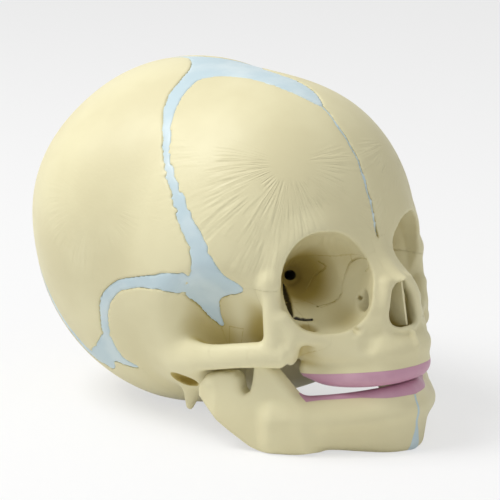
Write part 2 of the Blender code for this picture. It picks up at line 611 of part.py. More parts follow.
def cranium_pieces(pieces):
    bone, sheet = skull_shells()
    divide = Division(bone, sheet)
    crown = [share * H for share in CROWN_shares]

    half = [(x * W, y * L) for x, y in FONTANELLE_shares]
    kite = [(0.0, FONTANELLE_TIP_share * L)] + half + [(-x, y) for x, y in half[::-1]]
    divide.middle('anterior_fontanelle', region('top', kite, *crown), True)
    brow = side_outline(FRONTAL_SUTURE_shares)
    divide.middle('frontal_suture', region('side', brow, -SUTURE_LINE / 2, SUTURE_LINE / 2), True)
    half = front_outline(REAR_FONTANELLE_shares)
    triangle = half + [(0.0, REAR_FONTANELLE_FOOT_share * H)] + [(-x, z) for x, z in half[:0:-1]]
    rear = [share * L for share in REAR_DEPTH_shares]
    divide.middle('posterior_fontanelle', region('front', triangle, *rear), True)
    crest = side_outline(SAGITTAL_shares)
    divide.middle('sagittal_suture', region('side', crest, -SAGITTAL_STRIP / 2, SAGITTAL_STRIP / 2), True)

    outer = BEYOND_share * W
    inner = SIDE_INNER_share * W
    coronal = side_outline(CORONAL_REAR_shares, CORONAL_FRONT_shares[::-1])
    divide.pair('coronal_suture', region('side', coronal, CORONAL_INNER_share * W, outer), True)
    star = side_outline(CORONAL_REAR_shares[-1:], SPHENOID_REAR_shares, SPHENOID_LOW_shares,
                        SPHENOID_FRONT_shares, CORONAL_FRONT_shares[-1:])
    divide.pair('sphenoidal_fontanelle', region('side', star, inner, outer), True)
    squamous = side_outline(SPHENOID_REAR_shares[-1:], SQUAMOUS_UPPER_shares, SQUAMOUS_LOWER_shares[::-1],
                            SPHENOID_LOW_shares[:1])
    divide.pair('squamous_suture', region('side', squamous, inner, outer), True)
    mastoid = side_outline(SQUAMOUS_UPPER_shares[-1:], MASTOID_UPPER_shares, MASTOID_LOW_shares[::-1],
                           MASTOID_FRONT_shares[::-1], SQUAMOUS_LOWER_shares[-1:])
    divide.pair('mastoid_fontanelle', region('side', mastoid, MASTOID_INNER_share * W, outer), True)
    lambdoid = side_outline(LAMBDOID_FRONT_shares, LAMBDOID_REAR_shares)
    divide.pair('lambdoid_suture', region('side', lambdoid, HALF_SEAM, outer), True)

    septum = region('side', side_outline(SEPTUM_shares), -SEPTUM_THICKNESS / 2, SEPTUM_THICKNESS / 2)
    divide.bone = shell_cut(divide.bone, septum(SEAM_GAP), 'DIFFERENCE')
    pieces['nasal_septum'] = septum(0.0)

    nasal = region('side', side_outline(NASAL_SIDE_shares), HALF_SEAM, NASAL_HALF_share * W)
    divide.pair('nasal_bone', nasal)
    cheek = region('front', front_outline(CHEEK_SEAM_shares), FRONT_LIMIT_share * L,
                   ZYGOMATIC_BACK_share * L)
    divide.pair('zygomatic_bone', cheek)
    squama = side_outline(SPHENOID_LOW_shares[::-1], SQUAMOUS_LOWER_shares, MASTOID_FRONT_shares,
                          TEMPORAL_FOOT_shares)
    temple = together(region('side', squama, TEMPORAL_INNER_share * W, outer),
                      region('side', side_outline(ARCH_BOX_shares), ARCH_INNER_share * W,
                             ARCH_OUTER_share * W))
    divide.pair('temporal_bone', temple)
    above = front_outline(BROW_SEAM_shares + ABOVE_BROW_shares)
    above = [(x if x else HALF_SEAM, z) for x, z in above]
    depth = [share * L for share in FRONTAL_DEPTH_shares]
    front_edge = side_outline(CORONAL_FRONT_shares, SPHENOID_FRONT_shares[:2:-1], FRONTAL_LIMIT_shares)
    divide.pair('frontal_bone', overlap(region('front', above, *depth),
                                        region('side', front_edge, HALF_SEAM, outer)))
    top = side_outline(CORONAL_REAR_shares, SPHENOID_REAR_shares, SQUAMOUS_UPPER_shares,
                       MASTOID_UPPER_shares, LAMBDOID_FRONT_shares[2:], PARIETAL_LIMIT_shares)
    divide.pair('parietal_bone', region('side', top, HALF_SEAM, outer))
    back = side_outline(OCCIPITAL_LIMIT_shares, LAMBDOID_REAR_shares[:-1], MASTOID_LOW_shares[::-1],
                        OCCIPITAL_FRONT_shares)
    divide.middle('occipital_bone', region('side', back, -outer, outer))
    ethmoid = region('side', side_outline(ETHMOID_shares), -ETHMOID_HALF_share * W, ETHMOID_HALF_share * W)
    divide.middle('ethmoid_bone', ethmoid)
    divide.pair('maxilla', region('side', side_outline(UPPER_JAW_shares), HALF_SEAM, outer))
    bpy.data.objects.remove(divide.sheet, do_unlink=True)
    pieces['sphenoid_bone'] = main_body(divide.bone)
    pieces.update(divide.pieces)


def joint_side(plane, slope, above, by):
    """The space above or below a sloping joint between gum and jaw, seen from the side."""
    front = (plane[0] - GUM_SIDE_shares[0]) * L
    back = (plane[0] + GUM_SIDE_shares[1]) * L
    height = GUM_SIDE_shares[2] * H
    far = height if above else -height
    line = [(y, plane[1] * H - math.tan(slope) * (y - plane[0] * L)) for y in (back, front)]
    return [(y, z + by) for y, z in line] + [(y, z + far) for y, z in line[::-1]]


def lower_jaw(pieces):
    middle = RAMUS_PLACE_share * W
    plate = prism('ramus', 'side', side_outline(RAMUS_shares), middle - RAMUS_THICKNESS / 2,
                  middle + RAMUS_THICKNESS / 2)
    hinge = place(JAW_AXIS_share)
    for vert in plate.data.vertices:
        vert.co.x += RAMUS_SPLAY * min(vert.co.y - hinge.y, 0.0)
    masses = [bar('low', JAW_LOW_shares, JAW_GIRTH, both=True),
              bar('middle', JAW_MIDDLE_shares, JAW_GIRTH, both=True),
              bar('high', JAW_HIGH_shares, JAW_GIRTH, both=True)]
    masses += both_sides([plate, bar('condyle', CONDYLE_shares, CONDYLE_GIRTH)])
    jaw = thinned(blended('jaw', masses, CLAY_GRAIN, 3), 770)
    over = joint_side(LOWER_GUM_PLANE_shares, LOWER_GUM_SLOPE, True, -HALF_SEAM)
    jaw = boolean(jaw, prism('over', 'side', over, -W, W), 'DIFFERENCE')
    jaw = boolean(jaw, block('floor', FLOOR_SLAB_shares), 'DIFFERENCE')
    mouth = hinge + Vector((middle - RAMUS_THICKNESS, 0, 0))
    end = hinge + Vector((middle - RAMUS_THICKNESS / 2 + PIN_REACH + SEAM_GAP, 0, 0))
    for bore in both_sides([cylinder('bore', mouth, end, PIN_DIAMETER / 2 + SEAM_GAP)]):
        jaw = boolean(jaw, bore, 'DIFFERENCE')
    half = front_outline(CHIN_WEDGE_shares)
    wedge = half + [(-x, z) for x, z in half[::-1]]
    back = CHIN_DEPTH_share * L
    chin = boolean(duplicate(jaw, 'chin_cartilage'), prism('wedge', 'front', wedge, -L, back), 'INTERSECT')
    pieces['chin_cartilage'] = main_body(chin)
    jaw = boolean(jaw, prism('wedge', 'front', wedge, -L, back, SEAM_GAP), 'DIFFERENCE')
    jaw = boolean(jaw, prism('left', 'front', [(0, -H), (W, -H), (W, H), (0, H)], -L, L), 'INTERSECT')
    jaw.name = 'mandible_L'
    pieces['mandible_L'] = main_body(jaw)
    pieces['mandible_R'] = mirrored(jaw, 'mandible_R')


def gums(pieces):
    """Soft pads on the two jaws, each seated on a sloping joint."""
    for name, shares, plane, slope, above in (
            ('upper_gum', UPPER_GUM_shares, UPPER_GUM_PLANE_shares, UPPER_GUM_SLOPE, True),
            ('lower_gum', LOWER_GUM_shares, LOWER_GUM_PLANE_shares, LOWER_GUM_SLOPE, False)):
        pad = blended(name, [bar(name, shares, GUM_GIRTH, both=True)], CLAY_GRAIN * FINE_GRAIN_share, 2)
        by = -HALF_SEAM if above else HALF_SEAM
        joint = prism('joint', 'side', joint_side(plane, slope, above, by), -W, W)
        pad = boolean(thinned(pad, 420), joint, 'DIFFERENCE')
        pad.name = name
        pieces[name] = main_body(pad)


def jaw_pins(pieces):
    """Steel pins from the temporal bones into the condyles, on the jaw's axis."""
    hinge = place(JAW_AXIS_share)
    ramus_face = RAMUS_PLACE_share * W - RAMUS_THICKNESS / 2
    start = hinge + Vector((ramus_face - PIN_SEAT, 0, 0))
    end = hinge + Vector((ramus_face + PIN_REACH, 0, 0))
    pieces['jaw_pin_L'] = cylinder('jaw_pin_L', start, end, PIN_DIAMETER / 2)
    pieces['jaw_pin_R'] = mirrored(pieces['jaw_pin_L'], 'jaw_pin_R')
    clear = Vector((SEAM_GAP, 0, 0))
    bore = cylinder('bore', start - clear, end, PIN_DIAMETER / 2 + SEAM_GAP)
    temple = shell_cut(pieces['temporal_bone_L'], bore, 'DIFFERENCE')
    temple.name = 'temporal_bone_L'
    bpy.data.objects.remove(pieces['temporal_bone_R'], do_unlink=True)
    pieces['temporal_bone_L'] = temple
    pieces['temporal_bone_R'] = mirrored(temple, 'temporal_bone_R')


# Colours
BONE = (0.80, 0.72, 0.50)
SHADED_BONE = (0.70, 0.62, 0.40)
MEMBRANE = (0.60, 0.72, 0.76)
GUM = (0.62, 0.28, 0.38)
STEEL = (0.60, 0.60, 0.62)


def finish(name):
    if 'pin' in name:
        return STEEL, 0.3, 1.0
    if 'gum' in name:
        return GUM, 0.35, 0.0
    if 'suture' in name or 'fontanelle' in name or 'cartilage' in name:
        return MEMBRANE, 0.45, 0.0
    if name in ('sphenoid_bone', 'ethmoid_bone', 'nasal_septum'):
        return SHADED_BONE, 0.55, 0.0
    return BONE, 0.5, 0.0


def dress(name, thing, collection):
    """Name, material and collection of a finished piece."""
    colour, roughness, metallic = finish(name)
    thing.name = thing.data.name = name
    material = bpy.data.materials.new(name)
    material.use_nodes = True
    shader = material.node_tree.nodes['Principled BSDF']
    shader.inputs['Base Color'].default_value = (*colour, 1.0)
    shader.inputs['Roughness'].default_value = roughness
    shader.inputs['Metallic'].default_value = metallic
    thing.data.materials.clear()
    thing.data.materials.append(material)
    thing.data.shade_smooth()
    thing.data.set_sharp_from_angle(angle=math.radians(40))
    for holder in list(thing.users_collection):
        holder.objects.unlink(thing)
    collection.objects.link(thing)


def hang_on_hinge(pieces, collection):
    """The lower jaw's pieces hang on an empty that lies on the jaw's axis."""
    hinge = bpy.data.objects.new('jaw_hinge', None)
    hinge.empty_display_size = PIN_SEAT + PIN_REACH
    hinge.location = place(JAW_AXIS_share)
    collection.objects.link(hinge)
    bpy.context.view_layer.update()
    for name in ('mandible_L', 'mandible_R', 'chin_cartilage', 'lower_gum'):
        pieces[name].parent = hinge
        pieces[name].matrix_parent_inverse = hinge.matrix_world.inverted()


def main():
    clear_scene()
    pieces = {}
    cranium_pieces(pieces)
    lower_jaw(pieces)
    gums(pieces)
    jaw_pins(pieces)
    collection = bpy.data.collections.new('newborn_skull')
    bpy.context.scene.collection.children.link(collection)
    for name, piece in pieces.items():
        dress(name, piece, collection)
    hang_on_hinge(pieces, collection)


main()
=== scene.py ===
"""Anatomical skull of a newborn: its bones, membranes, gums and lower jaw, on a pale table.

The braincase and the face are modelled as clay: rounded forms melted into one another on
a fine grid, which keeps the soft transitions of a cast skull. The clay is meshed once and
then divided along the bone borders, so neighbouring bones keep one continuous surface.
Lengths are in millimetres while the clay is worked, and in metres on the finished pieces.
+X is the skull's left side, the face looks along -Y and Z is up.
"""
import logging
import math
from dataclasses import dataclass
from enum import Enum
from typing import Callable, Iterable, Sequence

import bmesh
import bpy
import numpy as np
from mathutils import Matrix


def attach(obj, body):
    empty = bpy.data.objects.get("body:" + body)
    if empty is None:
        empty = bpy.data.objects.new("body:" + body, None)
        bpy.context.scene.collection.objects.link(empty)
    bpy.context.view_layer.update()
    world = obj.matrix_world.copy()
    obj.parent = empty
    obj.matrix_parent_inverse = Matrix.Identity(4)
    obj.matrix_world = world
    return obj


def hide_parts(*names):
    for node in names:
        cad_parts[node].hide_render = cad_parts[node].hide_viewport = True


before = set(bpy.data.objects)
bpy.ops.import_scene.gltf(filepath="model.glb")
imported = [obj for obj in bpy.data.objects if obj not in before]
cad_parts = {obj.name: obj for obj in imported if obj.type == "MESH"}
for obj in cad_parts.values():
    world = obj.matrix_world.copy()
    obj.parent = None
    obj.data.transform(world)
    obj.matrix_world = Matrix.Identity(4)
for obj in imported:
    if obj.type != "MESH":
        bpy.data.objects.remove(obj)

import openvdb
from mathutils import Euler, Matrix, Vector

LOG = logging.getLogger("skull")
MM = 0.001

Array = np.ndarray
Point = tuple[float, float, float]
Flat = tuple[float, float]
Outline = tuple[Flat, ...]
Course = tuple[tuple[float, float, float, float], ...]
Window = tuple[slice, slice, slice]
Distance = Callable[[Array, Array, Array], Array]

# Distance that stands for "nowhere near" in a field
FAR = 20.0


class Body(Enum):
    """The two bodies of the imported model."""

    CRANIUM = "cranium"
    MANDIBLE = "mandible"


class View(Enum):
    """The plane in which an outline is drawn."""

    SIDE = "side"      # (Y, Z), depth along X
    FRONT = "front"    # (X, Z), depth along Y
    TOP = "top"        # (X, Y), depth along Z


def smooth_min(first: Array, second: Array, blend: float) -> Array:
    """Joins two distances with a rounded crease.

    Args:
        first: Distances to one form.
        second: Distances to the other.
        blend: Width of the rounded crease.

    Returns:
        Distances to both forms together.
    """
    if blend <= 0:
        return np.minimum(first, second)
    crease = np.maximum(blend - np.abs(first - second), 0) / blend
    return np.minimum(first, second) - crease * crease * blend * 0.25


def smooth_max(first: Array, second: Array, blend: float) -> Array:
    """The part that two distances share, with a rounded edge."""
    return -smooth_min(-first, -second, blend)


def turned(degrees: Point) -> Array:
    """Rotation matrix of three Euler angles in degrees."""
    return np.array(Euler([math.radians(a) for a in degrees], "XYZ").to_matrix(), np.float32)


def gentle(value: Array, low: float, high: float) -> Array:
    """Rises smoothly from 0 at low to 1 at high."""
    share = np.clip((value - low) / (high - low), 0, 1)
    return share * share * (3 - 2 * share)


class Grain:
    """Smooth random relief on a plane or in space, the same on every run."""

    def __init__(self, seed: int, cells: int = 64) -> None:
        """Fills the lattice.

        Args:
            seed: Start of the random row.
            cells: Lattice cells before the relief repeats.
        """
        self.cells = cells
        self.values = np.random.default_rng(seed).uniform(-1, 1, (cells, cells)).astype(np.float32)

    def at(self, u: Array, v: Array, size: float) -> Array:
        """Relief at places on a plane.

        Args:
            u: First coordinate.
            v: Second coordinate.
            size: Width of a bump.

        Returns:
            Values from -1 to 1.
        """
        u, v = np.broadcast_arrays(u / size, v / size)
        base_u, base_v = np.floor(u), np.floor(v)
        part_u, part_v = u - base_u, v - base_v
        part_u = part_u * part_u * (3 - 2 * part_u)
        part_v = part_v * part_v * (3 - 2 * part_v)
        i, j = base_u.astype(int) % self.cells, base_v.astype(int) % self.cells
        i1, j1 = (i + 1) % self.cells, (j + 1) % self.cells
        near = self.values[i, j] * (1 - part_u) + self.values[i1, j] * part_u
        far = self.values[i, j1] * (1 - part_u) + self.values[i1, j1] * part_u
        return near * (1 - part_v) + far * part_v


@dataclass(frozen=True)
class Form:
    """A rounded form: where it lies and how far any place is from its surface."""

    centre: Sequence[float]
    reach: Sequence[float]
    distance: Distance


def ball(centre: Point, radii: Point | float, turn: Point = (0, 0, 0)) -> Form:
    """An ellipsoid.

    Args:
        centre: Its centre.
        radii: Its three radii, or one.
        turn: Euler angles in degrees.

    Returns:
        The form.
    """
    size = np.array(radii, np.float32) * np.ones(3, np.float32)
    local = turned(turn).T
    reach = np.abs(turned(turn)) @ size

    def distance(x: Array, y: Array, z: Array) -> Array:
        """Distance to the ellipsoid, exact near its surface.

        Args:
            x: X of the places.
            y: Y of the places.
            z: Z of the places.

        Returns:
            The distances.
        """
        x, y, z = x - centre[0], y - centre[1], z - centre[2]
        axes = [local[i, 0] * x + local[i, 1] * y + local[i, 2] * z for i in range(3)]
        inner = np.sqrt(sum((axis / r) ** 2 for axis, r in zip(axes, size)))
        slope = np.sqrt(sum((axis / r ** 2) ** 2 for axis, r in zip(axes, size))) + 1e-6
        return inner * (inner - 1) / slope

    return Form(centre, reach, distance)


def rod(start: Point, end: Point, girth: float, end_girth: float | None = None,
        flat: tuple[Point, float] | None = None) -> Form:
    """A round bar whose radius runs evenly from one end to the other.

    Args:
        start: One end.
        end: The other.
        girth: Radius at the start.
        end_girth: Radius at the end, or the same.
        flat: A direction, and how many times thinner the bar is along it.

    Returns:
        The form.
    """
    last = girth if end_girth is None else end_girth
    a, b = np.array(start, float), np.array(end, float)
    run = b - a

    def distance(x: Array, y: Array, z: Array) -> Array:
        """Distance to the bar.

        Args:
            x: X of the places.
            y: Y of the places.
            z: Z of the places.

        Returns:
            The distances.
        """
        px, py, pz = x - a[0], y - a[1], z - a[2]
        along = np.clip((px * run[0] + py * run[1] + pz * run[2]) / (run @ run + 1e-9), 0, 1)
        ex, ey, ez = px - along * run[0], py - along * run[1], pz - along * run[2]
        radius = girth + (last - girth) * along
        if flat is None:
            return np.sqrt(ex * ex + ey * ey + ez * ez) - radius
        normal = np.array(flat[0], float) / np.linalg.norm(flat[0])
        across = ex * normal[0] + ey * normal[1] + ez * normal[2]
        round_part = np.maximum(ex * ex + ey * ey + ez * ez - across * across, 0)
        pressed = np.sqrt(round_part + (across * flat[1]) ** 2)
        slope = np.sqrt(round_part + (across * flat[1] ** 2) ** 2) / (pressed + 1e-6)
        return (pressed - radius) / np.maximum(slope, 1.0)

    return Form((a + b) / 2, np.abs(run) / 2 + max(girth, last), distance)


def slab(centre: Point, half: Point, turn: Point = (0, 0, 0), corner: float = 0.0) -> Form:
    """A block with rounded edges.

    Args:
        centre: Its centre.
        half: Its half sizes.
        turn: Euler angles in degrees.
        corner: Radius of the edges.

    Returns:
        The form.
    """
    size = np.array(half, np.float32)
    local = turned(turn).T

    def distance(x: Array, y: Array, z: Array) -> Array:
        """Distance to the block.

        Args:
            x: X of the places.
            y: Y of the places.
            z: Z of the places.

        Returns:
            The distances.
        """
        x, y, z = x - centre[0], y - centre[1], z - centre[2]
        gaps = [np.abs(local[i, 0] * x + local[i, 1] * y + local[i, 2] * z) - (size[i] - corner) for i in range(3)]
        outside = np.sqrt(sum(np.maximum(gap, 0) ** 2 for gap in gaps))
        inside = np.minimum(np.maximum(np.maximum(gaps[0], gaps[1]), gaps[2]), 0)
        return outside + inside - corner

    return Form(centre, np.abs(turned(turn)) @ size, distance)


def melted(forms: Sequence[Form], blend: float = 0.0) -> Form:
    """Several forms as one.

    Args:
        forms: The forms.
        blend: Width of the creases between them.

    Returns:
        The joined form.
    """
    low = np.min([np.subtract(f.centre, f.reach) for f in forms], 0)
    high = np.max([np.add(f.centre, f.reach) for f in forms], 0)

    def distance(x: Array, y: Array, z: Array) -> Array:
        """Distance to the nearest of the forms.

        Args:
            x: X of the places.
            y: Y of the places.
            z: Z of the places.

        Returns:
            The distances.
        """
        total = forms[0].distance(x, y, z)
        for form in forms[1:]:
            total = smooth_min(total, form.distance(x, y, z), blend)
        return total

    return Form((low + high) / 2, (high - low) / 2, distance)


def flowing(stations: Sequence[Sequence[float]], steps: int = 5) -> list[Sequence[float]]:
    """A line that passes smoothly through its stations.

    Args:
        stations: The places, each with any further values that run along the line.
        steps: Short runs between two stations.

    Returns:
        The places along the line.
    """
    rows = [np.array(row, float) for row in stations]
    rows = [2 * rows[0] - rows[1], *rows, 2 * rows[-1] - rows[-2]]
    line = []
    for p, q, r, s in zip(rows, rows[1:], rows[2:], rows[3:]):
        for step in range(steps):
            t = step / steps
            line.append(0.5 * (2 * q + (r - p) * t + (2 * p - 5 * q + 4 * r - s) * t * t
                               + (3 * q - p - 3 * r + s) * t ** 3))
    line.append(rows[-2])
    return line


def ridge(course: Course, grow: float = 0.0, flat: tuple[Point, float] | None = None) -> Form:
    """A round bar that flows through several stations.

    Args:
        course: Its stations: X, Y, Z and the radius there.
        grow: How much thicker it is than its stations say.
        flat: As for rod.

    Returns:
        The form.
    """
    line = flowing([(*station[:3], station[3] + grow) for station in course])
    return melted([rod(here[:3], there[:3], here[3], there[3], flat) for here, there in zip(line, line[1:])])


def softened(points: Sequence[Flat], rounds: int = 2) -> list[Flat]:
    """A closed outline with its corners cut off again and again until it flows.

    Args:
        points: Its corners.
        rounds: How often they are cut.

    Returns:
        The new corners.
    """
    line = [tuple(p) for p in points]
    for _ in range(rounds):
        line = [tuple(a[k] * share + b[k] * (1 - share) for k in (0, 1))
                for a, b in zip(line, line[1:] + line[:1]) for share in (0.75, 0.25)]
    return line


def outline_distance(points: Sequence[Flat]) -> Callable[[Array, Array], Array]:
    """Signed distance to a closed outline in a plane, negative inside.

    Args:
        points: Its corners.

    Returns:
        A function of two coordinates that gives the distance.
    """
    corners = np.array(points, np.float32)

    def distance(u: Array, v: Array) -> Array:
        """Distance at places in the plane.

        Args:
            u: First coordinate.
            v: Second coordinate.

        Returns:
            The distances.
        """
        nearest = np.full(np.broadcast(u, v).shape, 1e9, np.float32)
        side = np.ones(nearest.shape, np.float32)
        for here, before in zip(corners, np.roll(corners, 1, 0)):
            eu, ev = before - here
            wu, wv = u - here[0], v - here[1]
            along = np.clip((wu * eu + wv * ev) / (eu * eu + ev * ev + 1e-9), 0, 1)
            nearest = np.minimum(nearest, (wu - eu * along) ** 2 + (wv - ev * along) ** 2)
            above, below, left = v >= here[1], v < before[1], eu * wv > ev * wu
            side = np.where((above & below & left) | (~above & ~below & ~left), -side, side)
        return side * np.sqrt(nearest)

    return distance


def plate(outline: Sequence[Flat], middle: Callable[[Array, Array], Array],
          half: Callable[[Array, Array], Array], edge: float) -> Form:
    """A thin plate with rounded edges, drawn from the side.

    Args:
        outline: Its outline in (Y, Z).
        middle: X of its middle surface.
        half: Half of its thickness.
        edge: Radius of its edge.

    Returns:
        The form.
    """
    shape = outline_distance(outline)
    corners = np.array(outline, float)
    low, high = corners.min(0), corners.max(0)
    ys, zs = np.linspace(low[0], high[0], 9)[:, None], np.linspace(low[1], high[1], 9)[None, :]
    xs, most = middle(ys, zs), float(np.max(half(ys, zs)))
    centre = ((xs.min() + xs.max()) / 2, (low[0] + high[0]) / 2, (low[1] + high[1]) / 2)
    reach = ((xs.max() - xs.min()) / 2 + most, (high[0] - low[0]) / 2, (high[1] - low[1]) / 2)

    def distance(x: Array, y: Array, z: Array) -> Array:
        """Distance to the plate.

        Args:
            x: X of the places.
            y: Y of the places.
            z: Z of the places.

        Returns:
            The distances.
        """
        across = np.abs(x - middle(y, z)) - half(y, z) + edge
        inside = shape(y, z) + edge
        outside = np.sqrt(np.maximum(across, 0) ** 2 + np.maximum(inside, 0) ** 2)
        return outside + np.minimum(np.maximum(across, inside), 0) - edge

    return Form(centre, reach, distance)


def punch(view: View, outline: Sequence[Flat], low: float, high: float) -> Form:
    """An outline with depth, straight through the clay.

    Args:
        view: Plane of the outline.
        outline: Its corners.
        low: Depth where it starts.
        high: Depth where it ends.

    Returns:
        The form.
    """
    shape = outline_distance(outline)
    corners = np.array(outline, float)
    small, large = corners.min(0), corners.max(0)
    centre, reach = [*((small + large) / 2), (low + high) / 2], [*((large - small) / 2), (high - low) / 2]
    order = {View.SIDE: (2, 0, 1), View.FRONT: (0, 2, 1), View.TOP: (0, 1, 2)}[view]

    def distance(x: Array, y: Array, z: Array) -> Array:
        """Distance to the punched space."""
        u, v, w = {View.SIDE: (y, z, x), View.FRONT: (x, z, y), View.TOP: (x, y, z)}[view]
        return np.maximum(shape(u, v), np.maximum(low - w, w - high))

    return Form([centre[i] for i in order], [reach[i] for i in order], distance)


class Clay:
    """A block of clay on a grid over the skull's left half, mirrored when it is meshed."""

    def __init__(self, low: Point, high: Point, cell: float) -> None:
        """Lays out an empty block.

        Args:
            low: Lowest corner.
            high: Highest corner.
            cell: Grid cell.
        """
        self.cell = cell
        self.low = np.array([math.floor(v / cell) * cell for v in low])
        self.counts = [int(math.ceil((high[i] - self.low[i]) / cell)) + 1 for i in range(3)]
        self.axes = [(self.low[i] + np.arange(self.counts[i]) * cell).astype(np.float32) for i in range(3)]
        self.field = np.full(self.counts, FAR, np.float32)

    def grids(self, window: Window | None = None) -> tuple[Array, Array, Array]:
        """X, Y and Z of the grid, or of a window of it, ready to be combined."""
        cut = window or (slice(None),) * 3
        return (self.axes[0][cut[0]][:, None, None], self.axes[1][cut[1]][None, :, None],
                self.axes[2][cut[2]][None, None, :])

    def _window(self, form: Form, blend: float) -> Window | None:
        """The part of the grid that a form can change.

        Args:
            form: The form.
            blend: Width of the crease round it.

        Returns:
            The part along X, Y and Z, or nothing where the form lies outside.
        """
        margin = blend + 3 * self.cell + 2
        cuts = []
        for i in range(3):
            first = int(max(0, math.floor((form.centre[i] - form.reach[i] - margin - self.low[i]) / self.cell)))
            last = int(min(self.counts[i],
                           math.ceil((form.centre[i] + form.reach[i] + margin - self.low[i]) / self.cell) + 1))
            if last <= first:
                return None
            cuts.append(slice(first, last))
        return tuple(cuts)

    def add(self, form: Form, blend: float = 3.0) -> None:
        """Presses a form onto the clay.

        Args:
            form: The form.
            blend: Width of the soft crease round it.
        """
        window = self._window(form, blend)
        if window:
            self.field[window] = smooth_min(self.field[window], form.distance(*self.grids(window)), blend)

    def cut(self, form: Form, blend: float = 1.0) -> None:
        """Takes a form out of the clay.

        Args:
            form: The form.
            blend: Width of the rounded edge.
        """
        window = self._window(form, blend)
        if window:
            self.field[window] = smooth_max(self.field[window], -form.distance(*self.grids(window)), blend)

    def mesh(self, name: str, field: Array | None = None) -> bpy.types.Object:
        """The surface of the clay with its mirror image, as an object in metres.

        Args:
            name: Name of the object.
            field: Distances to mesh instead of the clay's own.

        Returns:
            The object.
        """
        half = self.field if field is None else field
        start = int(round(-self.low[0] / self.cell))
        half = half[start:]
        whole = np.concatenate([half[:0:-1], half], 0)
        low = np.array([-(half.shape[0] - 1) * self.cell, self.low[1], self.low[2]])
        band = 3 * self.cell
        # The grid is clipped to a narrow band, all that the surface needs
        grid = openvdb.FloatGrid(band)
        grid.copyFromArray(np.ascontiguousarray(np.clip(whole, -band, band), np.float32), tolerance=0)
        points, triangles, quads = grid.convertToPolygons(0.0)
        points = ((points * self.cell + low) * MM).astype(np.float32)
        mesh = bpy.data.meshes.new(name)
        mesh.vertices.add(len(points))
        mesh.vertices.foreach_set("co", points.ravel())
        mesh.loops.add(len(quads) * 4)
        mesh.loops.foreach_set("vertex_index", quads.astype(np.int32).ravel())
        mesh.polygons.add(len(quads))
        mesh.polygons.foreach_set("loop_start", np.arange(0, len(quads) * 4, 4, dtype=np.int32))
        mesh.update(calc_edges=True)
        mesh.validate()
        thing = bpy.data.objects.new(name, mesh)
        bpy.context.scene.collection.objects.link(thing)
        return thing

    def sample(self, field: Array, points: Array) -> Array:
        """Values of a field at places on either side of the middle.

        Args:
            field: The field, on this clay's grid.
            points: The places in millimetres, one to a row.

        Returns:
            A value for each place.
        """
        places = np.abs(points[:, 0]), points[:, 1], points[:, 2]
        parts, cells = [], []
        for i in range(3):
            spot = np.clip((places[i] - self.low[i]) / self.cell, 0, self.counts[i] - 1.001)
            cells.append(spot.astype(int))
            parts.append((spot - cells[-1]).astype(np.float32))
        total = np.zeros(len(points), np.float32)
        for corner in range(8):
            offset = [(corner >> i) & 1 for i in range(3)]
            weight = np.ones(len(points), np.float32)
            for i in range(3):
                weight = weight * (parts[i] if offset[i] else 1 - parts[i])
            total += weight * field[cells[0] + offset[0], cells[1] + offset[1], cells[2] + offset[2]]
        return total


# Borders of the bones, in millimetres. From the side: (Y, Z)
CORONAL_REAR = ((11, 103), (9, 97), (7, 92), (4, 88.5), (1, 85), (-2, 81), (-6, 77), (-8.5, 73.5), (-12, 69),
                (-14.5, 65.5), (-17, 61.5), (-19.4, 57))
CORONAL_FRONT = ((5, 103), (4, 97), (3, 93), (1, 89), (-2, 85), (-5, 81), (-8.5, 77), (-11, 74), (-14, 71),
                 (-17.5, 67.5), (-21, 63.5), (-24, 59.5), (-26, 56))
SPHENOID_REAR = ((-20.9, 53.4), (-20.2, 50.0))
SPHENOID_LOW = ((-14.6, 42.8), (-15.8, 39.0), (-17.8, 35.6), (-21.2, 33.0))
SPHENOID_FRONT = ((-22.0, 33.4), (-21.2, 37.0), (-21.5, 40.4), (-24.0, 42.2), (-28, 43.9), (-34.0, 46.0),
                  (-29.2, 49.4), (-27.3, 52.4))
SQUAMOUS_UPPER = ((-13, 48.8), (-5, 47.1), (1, 45.5), (7, 43.5), (11, 40.5), (14, 36.5), (15.5, 32), (17, 26))
SQUAMOUS_LOWER = ((-12.6, 43.5), (-10, 43.8), (-6, 43.6), (-1, 43), (3, 42), (7, 40), (9, 38), (11, 35), (13, 31),
                  (13.6, 26))
MASTOID_UPPER = ((19.6, 23.5), (24, 20), (30, 17))
MASTOID_FRONT = ((14, 20), (12, 17.5), (8, 16))
MASTOID_LOW = ((14.5, 15.7), (18.5, 17), (20.5, 13.5), (24.5, 11.5))
LAMBDOID_FRONT = ((24, 15), (30, 17), (37, 24), (45, 34), (53, 47), (58.5, 58), (62, 65), (63, 72))
LAMBDOID_REAR = ((64, 72), (64, 66), (61, 57.5), (56, 47), (48, 32), (40, 21.5), (32, 13.5), (24, 13))
# From above: (X, Y)
FONTANELLE = ((0, -31.5), (2.6, -27.5), (4.6, -21), (5.2, -13), (6.2, -6), (9, 0.5), (12.5, 3.6), (17, 4.6),
              (17, 8.4), (11, 10), (6, 13), (3, 17), (1.2, 22))
